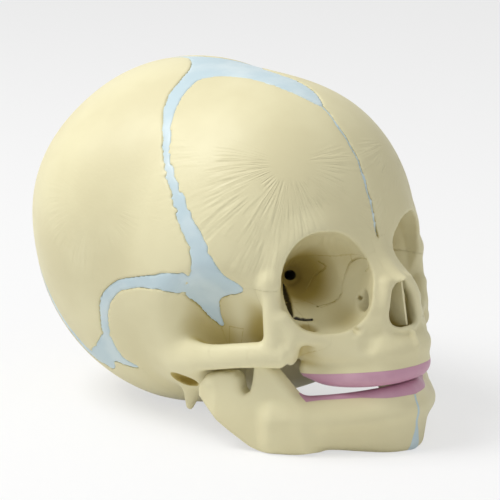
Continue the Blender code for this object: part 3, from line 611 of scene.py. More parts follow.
# From the front: (X, Z)
REAR_FONTANELLE = ((0, 86), (1.4, 84), (6.5, 73), (0, 71))
CHEEK_SEAM = ((19.5, 31.8), (24, 24.5), (24, 15), (48, 15), (48, 46.4), (30.7, 46.4), (19.5, 48.8))
BROW_SEAM = ((0, 55.5), (4.4, 54.2), (9.0, 52.0), (30.7, 46.5), (60, 46.5))
NASAL_SIDE = ((-48, 58), (-70, 58), (-70, 44.4), (-58.8, 45.8), (-54.6, 50.5), (-48, 54))
TEMPORAL_FOOT = ((6, 8), (4, -6), (-34, -6), (-28, 20))
ARCH_BOX = ((-36, 14), (-36, 33.4), (-24, 33.4), (-24, 14))
UPPER_GUM = ((-80, 26.6), (-66.5, 24.3), (-57, 23.3), (-43, 22.0), (-38, 21.6), (-38, 8), (-80, 8))
LOWER_GUM = ((-80, 16.0), (-65, 16.0), (-62, 15.9), (-57, 16.1), (-50, 15.7), (-46, 15.1), (-44.5, 15.5),
             (-44.5, 30), (-80, 30))
CHIN_WEDGE = ((0.3, 15.9), (0.45, 7.0), (2.7, -2), (-2.7, -2), (-0.45, 7.0), (-0.3, 15.9))
ETHMOID_SIDE = ((-34, 62), (-47, 62), (-46.9, 51.3), (-45.7, 48.7), (-45.1, 46.3), (-45.3, 42.4), (-44.1, 40.0),
                (-39, 38.1), (-32.6, 37.6), (-33.6, 43.8))
ORBIT_SEAMS = (((-33.0, 41.4), (-33.2, 43.8), (-35.7, 46.4), (-37.5, 47.5), (-38.5, 48.8),
                (-36.3, 50.0)),
               ((-53, 52.8), (-49.9, 52.7), (-46.8, 51.1), (-45.7, 48.7), (-45.1, 46.3), (-44.9, 43.9),
                (-45.3, 42.4), (-44.1, 40.0), (-39.0, 38.1), (-32.7, 37.6)),
               ((-52.6, 52.6), (-53.0, 50.4), (-51.6, 49.2)))


@dataclass
class Membranes:
    """Where the soft membranes lie between the bones of the vault."""

    frontal_half: float = 0.36
    sagittal_half: float = 1.4
    arm_inner: float = 12.0
    side_inner: float = 20.0
    mastoid_inner: float = 14.4
    outer: float = 60.0
    top_low: float = 70.0
    top_high: float = 120.0
    rear_low: float = 36.0
    rear_high: float = 84.0
    frontal_area: Outline = ((-80, 57.5), (-33, 57.5), (-19, 88), (-27, 112), (-80, 112))
    sagittal_area: Outline = ((17, 71), (84, 71), (84, 112), (17, 112))
    rough_size: float = 2.6
    fine_size: float = 1.25
    waver: float = 0.22
    roughness: float = 0.10
    teeth: float = 0.55
    teeth_rise: Flat = (58.0, 66.0)
    teeth_fall: Flat = (80.0, 88.0)
    kite_waver: float = 0.18
    rear_waver: float = 0.2
    rear_size: float = 2.2
    sagittal_waver: float = 0.3
    sagittal_size: float = 1.4
    sagittal_row: float = 9.0
    frontal_waver: float = 0.10
    frontal_size: float = 1.6
    frontal_row: float = 5.0

    def regions(self) -> dict[str, tuple[View, list[Flat], float, float]]:
        """Outline and depth of each membrane, on the left side where there are two.

        Returns:
            View, outline, lowest and highest depth, by name.
        """
        coronal = list(CORONAL_REAR) + list(CORONAL_FRONT[::-1])
        star = [CORONAL_REAR[-1], *SPHENOID_REAR, *SPHENOID_LOW, *SPHENOID_FRONT, CORONAL_FRONT[-1]]
        squamous = [SPHENOID_REAR[-1], *SQUAMOUS_UPPER, *SQUAMOUS_LOWER[::-1], SPHENOID_LOW[0]]
        mastoid = [SQUAMOUS_UPPER[-1], *MASTOID_UPPER, *MASTOID_LOW[::-1], *MASTOID_FRONT[::-1], SQUAMOUS_LOWER[-1]]
        lambdoid = [*LAMBDOID_FRONT, *LAMBDOID_REAR]
        kite = list(FONTANELLE) + [(-x, y) for x, y in FONTANELLE[:0:-1]]
        rear = list(REAR_FONTANELLE) + [(-x, z) for x, z in REAR_FONTANELLE[2:0:-1]]
        return {
            "coronal_suture": (View.SIDE, coronal, self.arm_inner, self.outer),
            "sphenoidal_fontanelle": (View.SIDE, star, self.side_inner, self.outer),
            "squamous_suture": (View.SIDE, squamous, self.side_inner, self.outer),
            "mastoid_fontanelle": (View.SIDE, mastoid, self.mastoid_inner, self.outer),
            "lambdoid_suture": (View.SIDE, lambdoid, 0.0, self.outer),
            "anterior_fontanelle": (View.TOP, kite, self.top_low, self.top_high),
            "posterior_fontanelle": (View.FRONT, rear, self.rear_low, self.rear_high),
            "frontal_suture": (View.SIDE, list(self.frontal_area), -self.frontal_half, self.frontal_half),
            "sagittal_suture": (View.SIDE, list(self.sagittal_area), -self.sagittal_half, self.sagittal_half),
        }

    def distance(self, clay: Clay) -> tuple[Array, Array]:
        """Signed distances to the membranes, negative inside.

        Args:
            clay: The clay whose grid is measured.

        Returns:
            The distances to the wide membranes, and to the thin line of the forehead.
        """
        x, y, z = clay.grids()
        rough, fine = Grain(3), Grain(8)
        toothed = gentle(z, *self.teeth_rise) * (1 - gentle(z, *self.teeth_fall))
        waver = (self.waver * rough.at(y, z, self.rough_size)
                 + (self.roughness + self.teeth * toothed) * fine.at(y, z, self.fine_size))
        wide = np.full(clay.field.shape, 50, np.float32)
        line = wide.copy()
        for name, (view, outline, low, high) in self.regions().items():
            if name == "frontal_suture":
                edge = self.frontal_waver * fine.at(0 * y + z, 0 * z + self.frontal_row, self.frontal_size)
                line = np.maximum(outline_distance(outline)(y, z), np.abs(x) - high + edge)
                continue
            shape = outline_distance(outline if name == "sagittal_suture" else softened(outline))
            if name == "sagittal_suture":
                edge = self.sagittal_waver * fine.at(0 * z + y, 0 * z + self.sagittal_row, self.sagittal_size)
                region = np.maximum(shape(y, z), np.abs(x) - high + edge)
            elif view is View.SIDE:
                region = np.maximum(shape(y, z) + waver, low - x)
            elif view is View.TOP:
                region = np.maximum(shape(x, y) + self.kite_waver * rough.at(x, y, self.rough_size), low - z)
            else:
                region = np.maximum(shape(x, z) + self.rear_waver * rough.at(x, z, self.rear_size), low - y)
            wide = np.minimum(wide, region)
        return wide, line


@dataclass
class Cranium:
    """Braincase and face in one clay, with the cavity and the orbits."""

    cell: float = 0.5
    low: Point = (-3, -76, -3)
    high: Point = (54, 74, 106)
    wall: float = 2.6
    recess: float = 0.12
    line_recess: float = 0.10
    sheet_wall: float = 1.5
    edge: float = 0.35
    line_edge: float = 0.25
    lap: float = 0.12

    rear_vault: tuple[Point, Point] = ((0, 16.2, 49.7), (44.6, 51.8, 50.5))
    front_vault: tuple[Point, Point] = ((0, -12.4, 52.3), (43.0, 38.6, 44.8))
    parietal_boss: tuple[Point, float] = ((15.8, 22.6, 58.4), 31.55)
    base_turn: Point = (-21, 0, 0)
    base_half: Point = (60, 50, 22)
    foot_half: Point = (60, 60, 20.5)
    foramen: tuple[Point, Point] = ((0, 10, 6), (8.5, 11, 12))
    nose_hollow: tuple[Point, Point] = ((0, -42, 44), (12, 20, 24))

    orbit_centre: Point = (18.2, -50.0, 48.0)
    orbit_half: Point = (12.0, 9.0, 14.2)
    orbit_turn: Point = (0, 0, 31)
    orbit_corner: float = 10.5
    orbit_cone: tuple[Point, Point] = ((17.2, -44, 47.8), (8.6, -27.5, 44.4))
    cone_girths: Flat = (11.2, 2.6)
    orbit_inner: tuple[Point, Point] = ((12.7, -50.3, 50.2), (7.4, 8.5, 8.0))
    canal_ends: tuple[Point, Point] = ((7.5, -26.4, 44.2), (5.2, -14, 43.8))
    canal_girth: float = 1.25
    slot: Course = ((12.6, -28.2, 43.0, 0.8), (15.4, -31.4, 42.2, 1.1), (19.0, -34.8, 41.4, 1.5),
                    (21.6, -37.6, 40.4, 1.5), (23.0, -39.8, 39.0, 1.1), (23.6, -41.2, 37.8, 0.7))
    slot_branch: Course = ((23.4, -41.4, 38.0, 0.6), (20.8, -41.8, 37.0, 0.5), (17.4, -42.8, 36.3, 0.3))
    tear_pit: tuple[Point, Point, float] = ((5.6, -50.4, 41.6), (8.0, -51.2, 42.0), 0.6)
    seam_range: tuple[float, float, float] = (3.0, 15.0, 0.02)

    temple_turn: Point = (0, 0, 14)
    temple_wide: tuple[Point, Point] = ((43.5, -30, 33), (13, 19, 16))
    temple_deep: tuple[Point, Point] = ((36.5, -32.5, 33.5), (8.6, 6.0, 9.5))

    nose_block: tuple[Point, Point] = ((0, -39.5, 43.5), (10.5, 14.6, 19))
    bridge: Course = ((0, -47.4, 56.4, 3.2), (0, -51.4, 52.0, 2.7), (0, -54.6, 49.6, 2.4), (0, -57.6, 47.5, 2.2),
                      (0, -60.5, 46.4, 1.9))
    nose_side: Course = ((2.0, -48.4, 52.8, 2.1), (2.7, -52.9, 49.2, 1.9), (3.5, -57.3, 46.2, 1.8))
    inner_rim: Course = ((3.6, -47.4, 55.5, 1.7), (5.0, -50.8, 51, 1.7), (7.2, -55.0, 46, 2.0),
                         (8.4, -56.9, 41.5, 2.1), (9.3, -57.4, 36.5, 2.6))
    nose_pillar: Course = ((4.4, -58.2, 46.2, 1.6), (6.2, -59.0, 42.0, 1.8), (7.0, -59.0, 37.0, 1.8),
                           (6.6, -59.8, 32.5, 1.8))
    nose_outline: Outline = ((0, 47.4), (1.6, 46.9), (3.0, 44.8), (4.3, 41.5), (5.3, 38.6), (5.5, 36.4),
                             (4.2, 35.2), (2.4, 34.9), (0, 35.4))
    nose_middle: float = 40.5
    passage_share: float = 0.72

    brow: Course = ((25.8, -38.6, 55, 2.2), (22.0, -40.8, 59, 2.0), (16.4, -43.6, 61.2, 2.0),
                    (10.2, -45.2, 59.8, 1.9), (5.2, -46.0, 55.5, 1.6))
    lower_rim: Course = ((9, -56.4, 36, 2.2), (13.4, -53.2, 33.4, 1.9), (19.4, -49.3, 32.4, 2.0),
                         (25.8, -45.0, 34.0, 2.1), (28.8, -42.4, 38.5, 2.3))
    jaw_body: tuple[Point, Point, Point] = ((9.8, -48.2, 31.0), (8.8, 9.8, 8.5), (0, 0, -24))
    cheek_body: tuple[Point, Point, Point] = ((24.6, -41.5, 31.2), (6.2, 2.8, 6.4), (0, 0, -42))
    cheek_pillar: Course = ((30.0, -40.4, 33, 2.8), (30.3, -39.7, 42, 2.4), (29.8, -39.2, 49, 2.3),
                            (26.8, -39.4, 56, 2.3))
    pillar_knob: tuple[Point, float] = ((30.3, -38.9, 48.2), 2.5)
    cheek_arch: Course = ((29.5, -41.2, 28.5, 3.8), (33.0, -36, 28.1, 3.5), (35.3, -30, 27.2, 3.4),
                          (36.4, -24, 26.0, 3.5), (36.4, -17, 25.2, 4.0), (34, -10, 25, 4.5))
    arch_flat: tuple[Point, float] = ((1, 0.25, 0), 1.7)

    upper_arch: Course = ((0, -61.6, 28.4, 4.6), (5.8, -60.1, 28.4, 4.5), (11.4, -54.8, 28.6, 4.1),
                          (16.2, -48.4, 29, 4.1), (19, -42, 29.5, 3.8))
    gum_arch: Course = ((0, -61.9, 23.4, 4.1), (5.8, -60.5, 23.1, 4.1), (11.6, -55.1, 22.3, 3.9),
                        (16.4, -48.6, 22.1, 3.5), (19.2, -43.4, 23.0, 2.6))
    nose_spine: Course = ((0, -64.6, 33.0, 0.7), (0, -66.0, 30.2, 0.7))
    nose_sill: Course = ((0, -62.9, 34.2, 0.9), (2.8, -62.2, 34.2, 0.9), (4.9, -60.9, 35.2, 0.9),
                         (5.9, -59.4, 37.4, 0.9))
    fossa: Course = ((11.6, -60.3, 38.5, 1.7), (12.6, -60.2, 34.5, 1.7), (13.2, -59.6, 31.0, 1.7))
    rim_pit: tuple[Point, Point, float] = ((13.7, -58.0, 34.5), (13.7, -54.6, 34.9), 0.75)
    rim_groove: Course = ((15.4, -55.9, 33.7, 0.4), (13.8, -56.8, 34.8, 0.6), (12.4, -57.6, 35.8, 0.4))

    ear_mass: tuple[Point, Point] = ((25.5, -9.5, 22), (10.5, 13, 9.5))
    ear_process: tuple[Point, Point, float, float] = ((28.3, -8.2, 12.5), (28.0, -6.6, 7.0), 3.0, 1.1)
    ear_recess: tuple[Point, Point, Point] = ((35.0, -10.2, 16.3), (5.0, 4.3, 1.9), (6, 0, 0))

    def orbit(self, grow: float = 0.0) -> Form:
        """The eye socket: a rounded box that narrows to the optic canal.

        Args:
            grow: How much larger it is all round.

        Returns:
            The form.
        """
        half = tuple(side + grow for side in self.orbit_half)
        mouth = slab(self.orbit_centre, half, self.orbit_turn, self.orbit_corner)
        back = rod(*self.orbit_cone, *(girth + grow for girth in self.cone_girths))
        centre, radii = self.orbit_inner
        inner = ball(centre, tuple(radius + grow for radius in radii))
        return melted([melted([mouth, back], 4), inner], 2)

    def temple(self, grow: float = 0.0) -> Form:
        """The hollow of the temple, behind the cheek bone.

        Args:
            grow: How much larger it is all round.

        Returns:
            The form.
        """
        balls = [ball(centre, tuple(radius + grow for radius in radii), self.temple_turn)
                 for centre, radii in (self.temple_wide, self.temple_deep)]
        return melted(balls, 2)

    def ear_pit(self) -> Form:
        """The shallow recess of the ear."""
        return ball(*self.ear_recess)

    def canal(self, grow: float = 0.0) -> Form:
        """The round optic canal at the back of the orbit."""
        return rod(*self.canal_ends, self.canal_girth + grow)

    def fissure(self) -> Form:
        """The slot beside the canal, with its thin branch along the floor, dark with shade that the bone's finish also
        paints.
        """
        return melted([ridge(self.slot), ridge(self.slot_branch)])

    def seams(self) -> list[list[Point]]:
        """Courses of the fine sutures on the inner wall of the left orbit.

        Returns:
            The points of each course, on the wall.
        """
        orbit = self.orbit()
        across = np.arange(*self.seam_range)
        courses = []
        for line in ORBIT_SEAMS:
            course = []
            for _, y, z in flowing([(0.0, *place) for place in line], 3):
                wall = orbit.distance(across, np.full_like(across, y), np.full_like(across, z))
                course.append((float(across[np.argmax(wall < 0)]), float(y), float(z)))
            courses.append(course)
        return courses

    def vault(self, shrink: float = 0.0) -> Clay:
        """The closed braincase.

        Args:
            shrink: How much smaller it is all round, for the space inside.

        Returns:
            The clay.
        """
        clay = Clay(self.low, self.high, self.cell)
        for (centre, radii), blend in ((self.rear_vault, 0), (self.front_vault, 9)):
            clay.add(ball(centre, tuple(radius - shrink for radius in radii)), blend)
        centre, radius = self.parietal_boss
        clay.add(ball(centre, radius - shrink), 6)
        return clay

    def cut_base(self, clay: Clay, base_height: float, foot_height: float, blend: float) -> None:
        """Takes away what lies below the skull's base and below its foot.

        Args:
            clay: The clay.
            base_height: Height of the middle of the tilted block that cuts the base.
            foot_height: Height of the middle of the level block that cuts the foot.
            blend: Width of the rounded edge of the foot.
        """
        clay.cut(slab((0, -42, base_height), self.base_half, self.base_turn, 6), 6)
        clay.cut(slab((0, 20, foot_height), self.foot_half), blend)

    def cavity(self) -> Clay:
        """The space inside the bones, with the canal and the fissure that open from it.

        Returns:
            The clay whose inside is the space.
        """
        clay = self.vault(self.wall)
        self.cut_base(clay, -4.5, -17, 5)
        clay.cut(self.temple(self.wall), 4)
        clay.cut(self.orbit(2.0), 3)
        clay.cut(ball(*self.nose_hollow), 4)
        clay.add(self.canal(), 0)
        clay.add(self.fissure(), 0)
        return clay

    def nose(self, clay: Clay) -> None:
        """Adds the root and bridge of the nose, and the pillars beside its opening.

        Args:
            clay: The clay.
        """
        clay.add(ball(*self.nose_block), 4)
        for course, blend in ((self.bridge, 3), (self.nose_side, 3), (self.inner_rim, 3.5), (self.nose_pillar, 1.6)):
            clay.add(ridge(course), blend)

    def cheeks(self, clay: Clay) -> None:
        """Adds the rims of the orbits, the cheek bones and their arches.

        Args:
            clay: The clay.
        """
        clay.add(ridge(self.brow), 6)
        clay.add(ridge(self.lower_rim), 2)
        clay.add(ball(*self.jaw_body), 3)
        clay.add(ball(*self.cheek_body), 2.5)
        clay.add(ridge(self.cheek_pillar), 2)
        clay.add(ball(*self.pillar_knob), 2.5)
        clay.add(ridge(self.cheek_arch, flat=self.arch_flat), 2)

    def upper_jaw(self, clay: Clay) -> None:
        """Adds the arch that carries the upper gum, with its spine, fossa and small pit.

        Args:
            clay: The clay.
        """
        for course, blend in ((self.upper_arch, 2.5), (self.gum_arch, 2), (self.nose_spine, 1.2),
                              (self.nose_sill, 1.5)):
            clay.add(ridge(course), blend)
        clay.cut(ridge(self.fossa), 2.2)
        clay.cut(rod(*self.rim_pit), 0.5)
        clay.cut(ridge(self.rim_groove), 0.8)

    def ear(self, clay: Clay) -> None:
        """Adds the mass behind the jaw joint, with its shallow recess and small process.

        Args:
            clay: The clay.
        """
        clay.add(ball(*self.ear_mass), 6)
        clay.add(rod(*self.ear_process), 2)
        clay.cut(self.ear_pit(), 0.8)

    def openings(self, clay: Clay) -> None:
        """Cuts the orbits and the nose.

        Args:
            clay: The clay.
        """
        clay.cut(self.orbit(), 0.5)
        clay.cut(self.fissure(), 0.3)
        clay.cut(rod(*self.tear_pit), 0.5)
        pear = softened([*self.nose_outline, *((-x, z) for x, z in self.nose_outline[-2:0:-1])], 1)
        clay.cut(punch(View.FRONT, pear, -80, -54.5), 0.8)
        share = self.passage_share
        passage = [(x * share, self.nose_middle + (z - self.nose_middle) * share) for x, z in pear]
        clay.cut(punch(View.FRONT, passage, -60, -38), 1.2)

    def build(self, membranes: Membranes) -> tuple[Clay, Array, Array]:
        """Models the clay.

        Args:
            membranes: The membranes between the bones.

        Returns:
            The clay whose field is the bone, the field of the membranes, and the field of
            the skull without its inner space, for measuring the hollows where shade is painted.
        """
        clay = self.vault()
        self.cut_base(clay, -9, -20, 3)
        clay.cut(self.temple(), 6)
        skin = clay.field.copy()
        for add in (self.nose, self.cheeks, self.upper_jaw, self.ear, self.openings):
            add(clay)
        filled = clay.field.copy()
        inner = self.cavity().field
        clay.field = smooth_max(clay.field, -inner, 0.5)
        clay.cut(ball(*self.foramen), 1)
        wide, line = membranes.distance(clay)
        clay.field = smooth_max(smooth_max(clay.field, -wide, self.edge), -line, self.line_edge)
        sheets = []
        for soft, recess in ((wide, self.recess), (line, self.line_recess)):
            sheet = np.maximum(skin + recess, -(skin + recess + self.sheet_wall))
            sheets.append(np.maximum(sheet, soft - self.lap))
        return clay, np.maximum(np.minimum(*sheets), -inner), filled


def widened(outline: Sequence[Flat], by: float = 1.0) -> list[Flat]:
    """A closed outline moved outwards.

    Args:
        outline: Its corners.
        by: How far.

    Returns:
        The new corners.
    """
    corners = list(outline)
    following = corners[1:] + corners[:1]
    turn = 1 if sum(a[0] * b[1] - b[0] * a[1] for a, b in zip(corners, following)) > 0 else -1
    moved = []
    for before, here, after in zip(corners[-1:] + corners[:-1], corners, following):
        first = (Vector(here) - Vector(before)).normalized()
        second = (Vector(after) - Vector(here)).normalized()
        out = Vector((first.y, -first.x)), Vector((second.y, -second.x))
        mitre = (out[0] + out[1]).normalized()
        moved.append(tuple(Vector(here) + mitre * (turn * by / max(mitre.dot(out[0]), 0.5))))
    return moved


class Saw:
    """Divides a mesh into bones along flat outlines."""

    turns = {
        View.SIDE: Matrix(((0, 0, 1), (1, 0, 0), (0, 1, 0))),
        View.FRONT: Matrix(((1, 0, 0), (0, 0, 1), (0, 1, 0))),
        View.TOP: Matrix(((1, 0, 0), (0, 1, 0), (0, 0, 1))),
    }

    def __init__(self, source: bpy.types.Object, gap: float) -> None:
        """Takes the mesh that is divided.

        Args:
            source: The object.
            gap: Width of the hairline left between neighbours, in millimetres.
        """
        self.rest = source
        self.gap = gap

    def prism(self, view: View, outline: Sequence[Flat], low: float, high: float, grow: float = 0.0,
              mirrored: bool = False) -> bpy.types.Object:
        """A flat outline with depth.

        Args:
            view: Plane of the outline.
            outline: Its corners in millimetres.
            low: Depth where it starts.
            high: Depth where it ends.
            grow: How much it is grown all round.
            mirrored: Whether it stands on the skull's right side instead.

        Returns:
            The cutter.
        """
        corners = widened(outline, grow) if grow else list(outline)
        work = bmesh.new()
        ring = [work.verts.new((u, v, low - grow)) for u, v in corners]
        lifted = bmesh.ops.extrude_face_region(work, geom=[work.faces.new(ring)])
        for item in lifted["geom"]:
            if isinstance(item, bmesh.types.BMVert):
                item.co.z = high + grow
        side = Matrix.Diagonal((-1 if mirrored else 1, 1, 1, 1))
        place = side @ Matrix.Scale(MM, 4) @ self.turns[view].to_4x4()
        bmesh.ops.transform(work, matrix=place, verts=work.verts)
        bmesh.ops.triangulate(work, faces=work.faces)
        bmesh.ops.recalc_face_normals(work, faces=work.faces)
        mesh = bpy.data.meshes.new("cutter")
        work.to_mesh(mesh)
        work.free()
        cutter = bpy.data.objects.new("cutter", mesh)
        bpy.context.scene.collection.objects.link(cutter)
        return cutter

    @staticmethod
    def boolean(target: bpy.types.Object, cutter: bpy.types.Object, operation: str) -> None:
        """Applies a cut to an object and removes the cutter.

        Args:
            target: The object.
            cutter: What it is cut with.
            operation: INTERSECT or DIFFERENCE.
        """
        step = target.modifiers.new(operation, "BOOLEAN")
        step.operation = operation
        step.solver = "MANIFOLD"
        step.object = cutter
        bpy.context.view_layer.update()
        graph = bpy.context.evaluated_depsgraph_get()
        mesh = bpy.data.meshes.new_from_object(target.evaluated_get(graph))
        target.modifiers.clear()
        old = target.data
        target.data = mesh
        bpy.data.meshes.remove(old)
        bpy.data.objects.remove(cutter, do_unlink=True)

    def take(self, name: str, parts: Sequence[tuple[View, Sequence[Flat], float, float]],
             paired: bool) -> dict[str, bpy.types.Object]:
        """Cuts a bone out of the rest.

        Args:
            name: Name of the bone.
            parts: Outlines that together hold it.
            paired: Whether its mirror image is a bone of its own.

        Returns:
            The new objects by name.
        """
        bodies = []
        for view, outline, low, high in parts:
            body = bpy.data.objects.new("part", self.rest.data.copy())
            bpy.context.scene.collection.objects.link(body)
            self.boolean(body, self.prism(view, outline, low, high), "INTERSECT")
            bodies.append(body)
            for mirrored in (False, True)[:2 if paired else 1]:
                self.boolean(self.rest, self.prism(view, outline, low, high, self.gap, mirrored), "DIFFERENCE")
        main = bodies[0] if len(bodies) == 1 else merged(bodies)
        if not paired:
            return {name: main}
        twin = bpy.data.objects.new("part", main.data.copy())
        bpy.context.scene.collection.objects.link(twin)
        twin.data.transform(Matrix.Diagonal((-1, 1, 1, 1)))
        twin.data.flip_normals()
        return {name + "_L": main, name + "_R": twin}


def thread(course: Sequence[Point], girth: float, mirrored: bool) -> bpy.types.Object:
    """A thin tube along a course, for engraving.

    Args:
        course: Its points in millimetres.
        girth: Its radius.
        mirrored: Whether it lies on the skull's right side.

    Returns:
        The tube.
    """
    side = -1 if mirrored else 1
    corners = 6
    work = bmesh.new()
    rings = []
    points = [Vector((x * side, y, z)) for x, y, z in course]
    for index, point in enumerate(points):
        ahead = (points[min(index + 1, len(points) - 1)] - points[max(index - 1, 0)]).normalized()
        across = Vector((1, 0, 0)).cross(ahead).normalized()
        outwards = ahead.cross(across)
        rings.append([work.verts.new((point + girth * (math.cos(a) * across + math.sin(a) * outwards)) * MM)
                      for a in (math.tau * step / corners for step in range(corners))])
    for first, second in zip(rings, rings[1:]):
        for i in range(corners):
            after = (i + 1) % corners
            work.faces.new((first[i], first[after], second[after], second[i]))
    work.faces.new(rings[0][::-1])
    work.faces.new(rings[-1])
    bmesh.ops.triangulate(work, faces=work.faces)
    bmesh.ops.recalc_face_normals(work, faces=work.faces)
    mesh = bpy.data.meshes.new("thread")
    work.to_mesh(mesh)
    work.free()
    tube = bpy.data.objects.new("thread", mesh)
    bpy.context.scene.collection.objects.link(tube)
    return tube


def merged(things: Sequence[bpy.types.Object]) -> bpy.types.Object:
    """Several objects as one.

    Args:
        things: The objects, which are removed.

    Returns:
        The new object.
    """
    work = bmesh.new()
    for thing in things:
        work.from_mesh(thing.data)
        bpy.data.objects.remove(thing, do_unlink=True)
    mesh = bpy.data.meshes.new("part")
    work.to_mesh(mesh)
    work.free()
    result = bpy.data.objects.new("part", mesh)
    bpy.context.scene.collection.objects.link(result)
    return result


@dataclass
class Skull:
    """All the pieces of the cranium, from the clay to the finished objects."""

    quick_cell: float = 0.8
    fine_cell: float = 0.5
    hairline: float = 0.03
    seam_girth: float = 0.30
    squama_inner: float = 14.0
    arch_inner: float = 29.5
    nasal_outer: float = 2.8
    gum_outer: float = 30.0
    ethmoid_outer: float = 12.5
    outer: float = 60.0
    face_rear: float = -36.0
    front: float = -90.0
    frontal_rear: float = 8.0
    parietal_top: Outline = ((66, 72), (90, 80), (90, 120), (11, 120))
    occipital_front: Outline = ((-8, -10), (90, -10), (90, 76))
    occipital_foot: Outline = ((12, 25), (-8, 25))
    frontal_top: Outline = ((60, 130), (0, 130))

    def model(self) -> dict[str, bpy.types.Object]:
        """Models the clay and divides it.

        Returns:
            The pieces by name.
        """
        cranium = Cranium(cell=self.fine_cell)
        membranes = Membranes()
        self.clay, sheet, self.filled = cranium.build(membranes)
        bone = self.clay.mesh("bone")
        for course in cranium.seams():
            for mirrored in (False, True):
                Saw.boolean(bone, thread(course, self.seam_girth, mirrored), "DIFFERENCE")
        skin = self.clay.mesh("membranes", sheet)
        return {**self.divide_membranes(skin, membranes), **self.divide_bone(bone)}

    def divide_membranes(self, skin: bpy.types.Object, membranes: Membranes) -> dict[str, bpy.types.Object]:
        """Cuts the sheet of membranes into the named ones.

        Args:
            skin: The sheet.
            membranes: Where they lie.

        Returns:
            The pieces by name.
        """
        saw = Saw(skin, 0.0)
        pieces: dict[str, bpy.types.Object] = {}
        regions = membranes.regions()
        for name in ("frontal_suture", "anterior_fontanelle", "posterior_fontanelle", "sagittal_suture"):
            view, outline, low, high = regions[name]
            depth = (low - 1, high + 1) if view is View.SIDE else (low, high)
            pieces.update(saw.take(name, [(view, widened(outline), *depth)], False))
        for name in ("coronal_suture", "sphenoidal_fontanelle", "squamous_suture", "mastoid_fontanelle",
                     "lambdoid_suture"):
            view, outline, low, high = regions[name]
            pieces.update(saw.take(name, [(view, widened(outline), max(low - 1, 0), high)], True))
        bpy.data.objects.remove(saw.rest, do_unlink=True)
        return pieces

    def divide_bone(self, bone: bpy.types.Object) -> dict[str, bpy.types.Object]:
        """Cuts the bone into the named ones; what is left over is the sphenoid.

        Args:
            bone: The whole cranium.

        Returns:
            The pieces by name.
        """
        top = [*CORONAL_REAR, *SPHENOID_REAR, *SQUAMOUS_UPPER, *MASTOID_UPPER, *LAMBDOID_FRONT[2:], *self.parietal_top]
        squama = [*SPHENOID_LOW[::-1], *SQUAMOUS_LOWER, *MASTOID_FRONT, *TEMPORAL_FOOT]
        above = [*BROW_SEAM, *self.frontal_top]
        back = [*self.occipital_front, *LAMBDOID_REAR[:-1], *MASTOID_LOW[::-1], *self.occipital_foot]
        jaw = [(self.face_rear, -10), (self.face_rear, self.outer), (self.front, self.outer), (self.front, -10)]
        order = (
            ("upper_gum", [(View.SIDE, UPPER_GUM, -self.gum_outer, self.gum_outer)], False),
            ("parietal_bone", [(View.SIDE, top, 0.0, self.outer)], True),
            ("nasal_bone", [(View.SIDE, NASAL_SIDE, 0.0, self.nasal_outer)], True),
            ("zygomatic_bone", [(View.FRONT, CHEEK_SEAM, -80, self.face_rear)], True),
            ("temporal_bone", [(View.SIDE, squama, self.squama_inner, self.outer),
                               (View.SIDE, ARCH_BOX, self.arch_inner, self.outer)], True),
            ("frontal_bone", [(View.FRONT, above, self.front, self.frontal_rear)], True),
            ("occipital_bone", [(View.SIDE, back, -self.outer, self.outer)], False),
            ("ethmoid_bone", [(View.SIDE, ETHMOID_SIDE, -self.ethmoid_outer, self.ethmoid_outer)], False),
            ("maxilla", [(View.SIDE, jaw, 0.0, self.outer)], True),
        )
        saw = Saw(bone, self.hairline)
        pieces: dict[str, bpy.types.Object] = {}
        for name, parts, paired in order:
            pieces.update(saw.take(name, parts, paired))
        pieces["sphenoid_bone"] = saw.rest
        return pieces

    def enclosure(self, span: float = 7.0) -> Array:
        """Share of solid in a cube round each place of the clay's grid, which sets the painted shade of the hollows.

        Args:
            span: Half the side of the cube, in millimetres.

        Returns:
            The shares, from 0 in the open to 1 inside.
        """
        cell = self.clay.cell
        start = int(round(-self.clay.low[0] / cell))
        half = np.clip(0.5 - self.filled[start:] / cell, 0, 1)
        whole = np.concatenate([half[:0:-1], half], 0)
        return blurred(whole, int(span / cell))[half.shape[0] - 1 - start:]


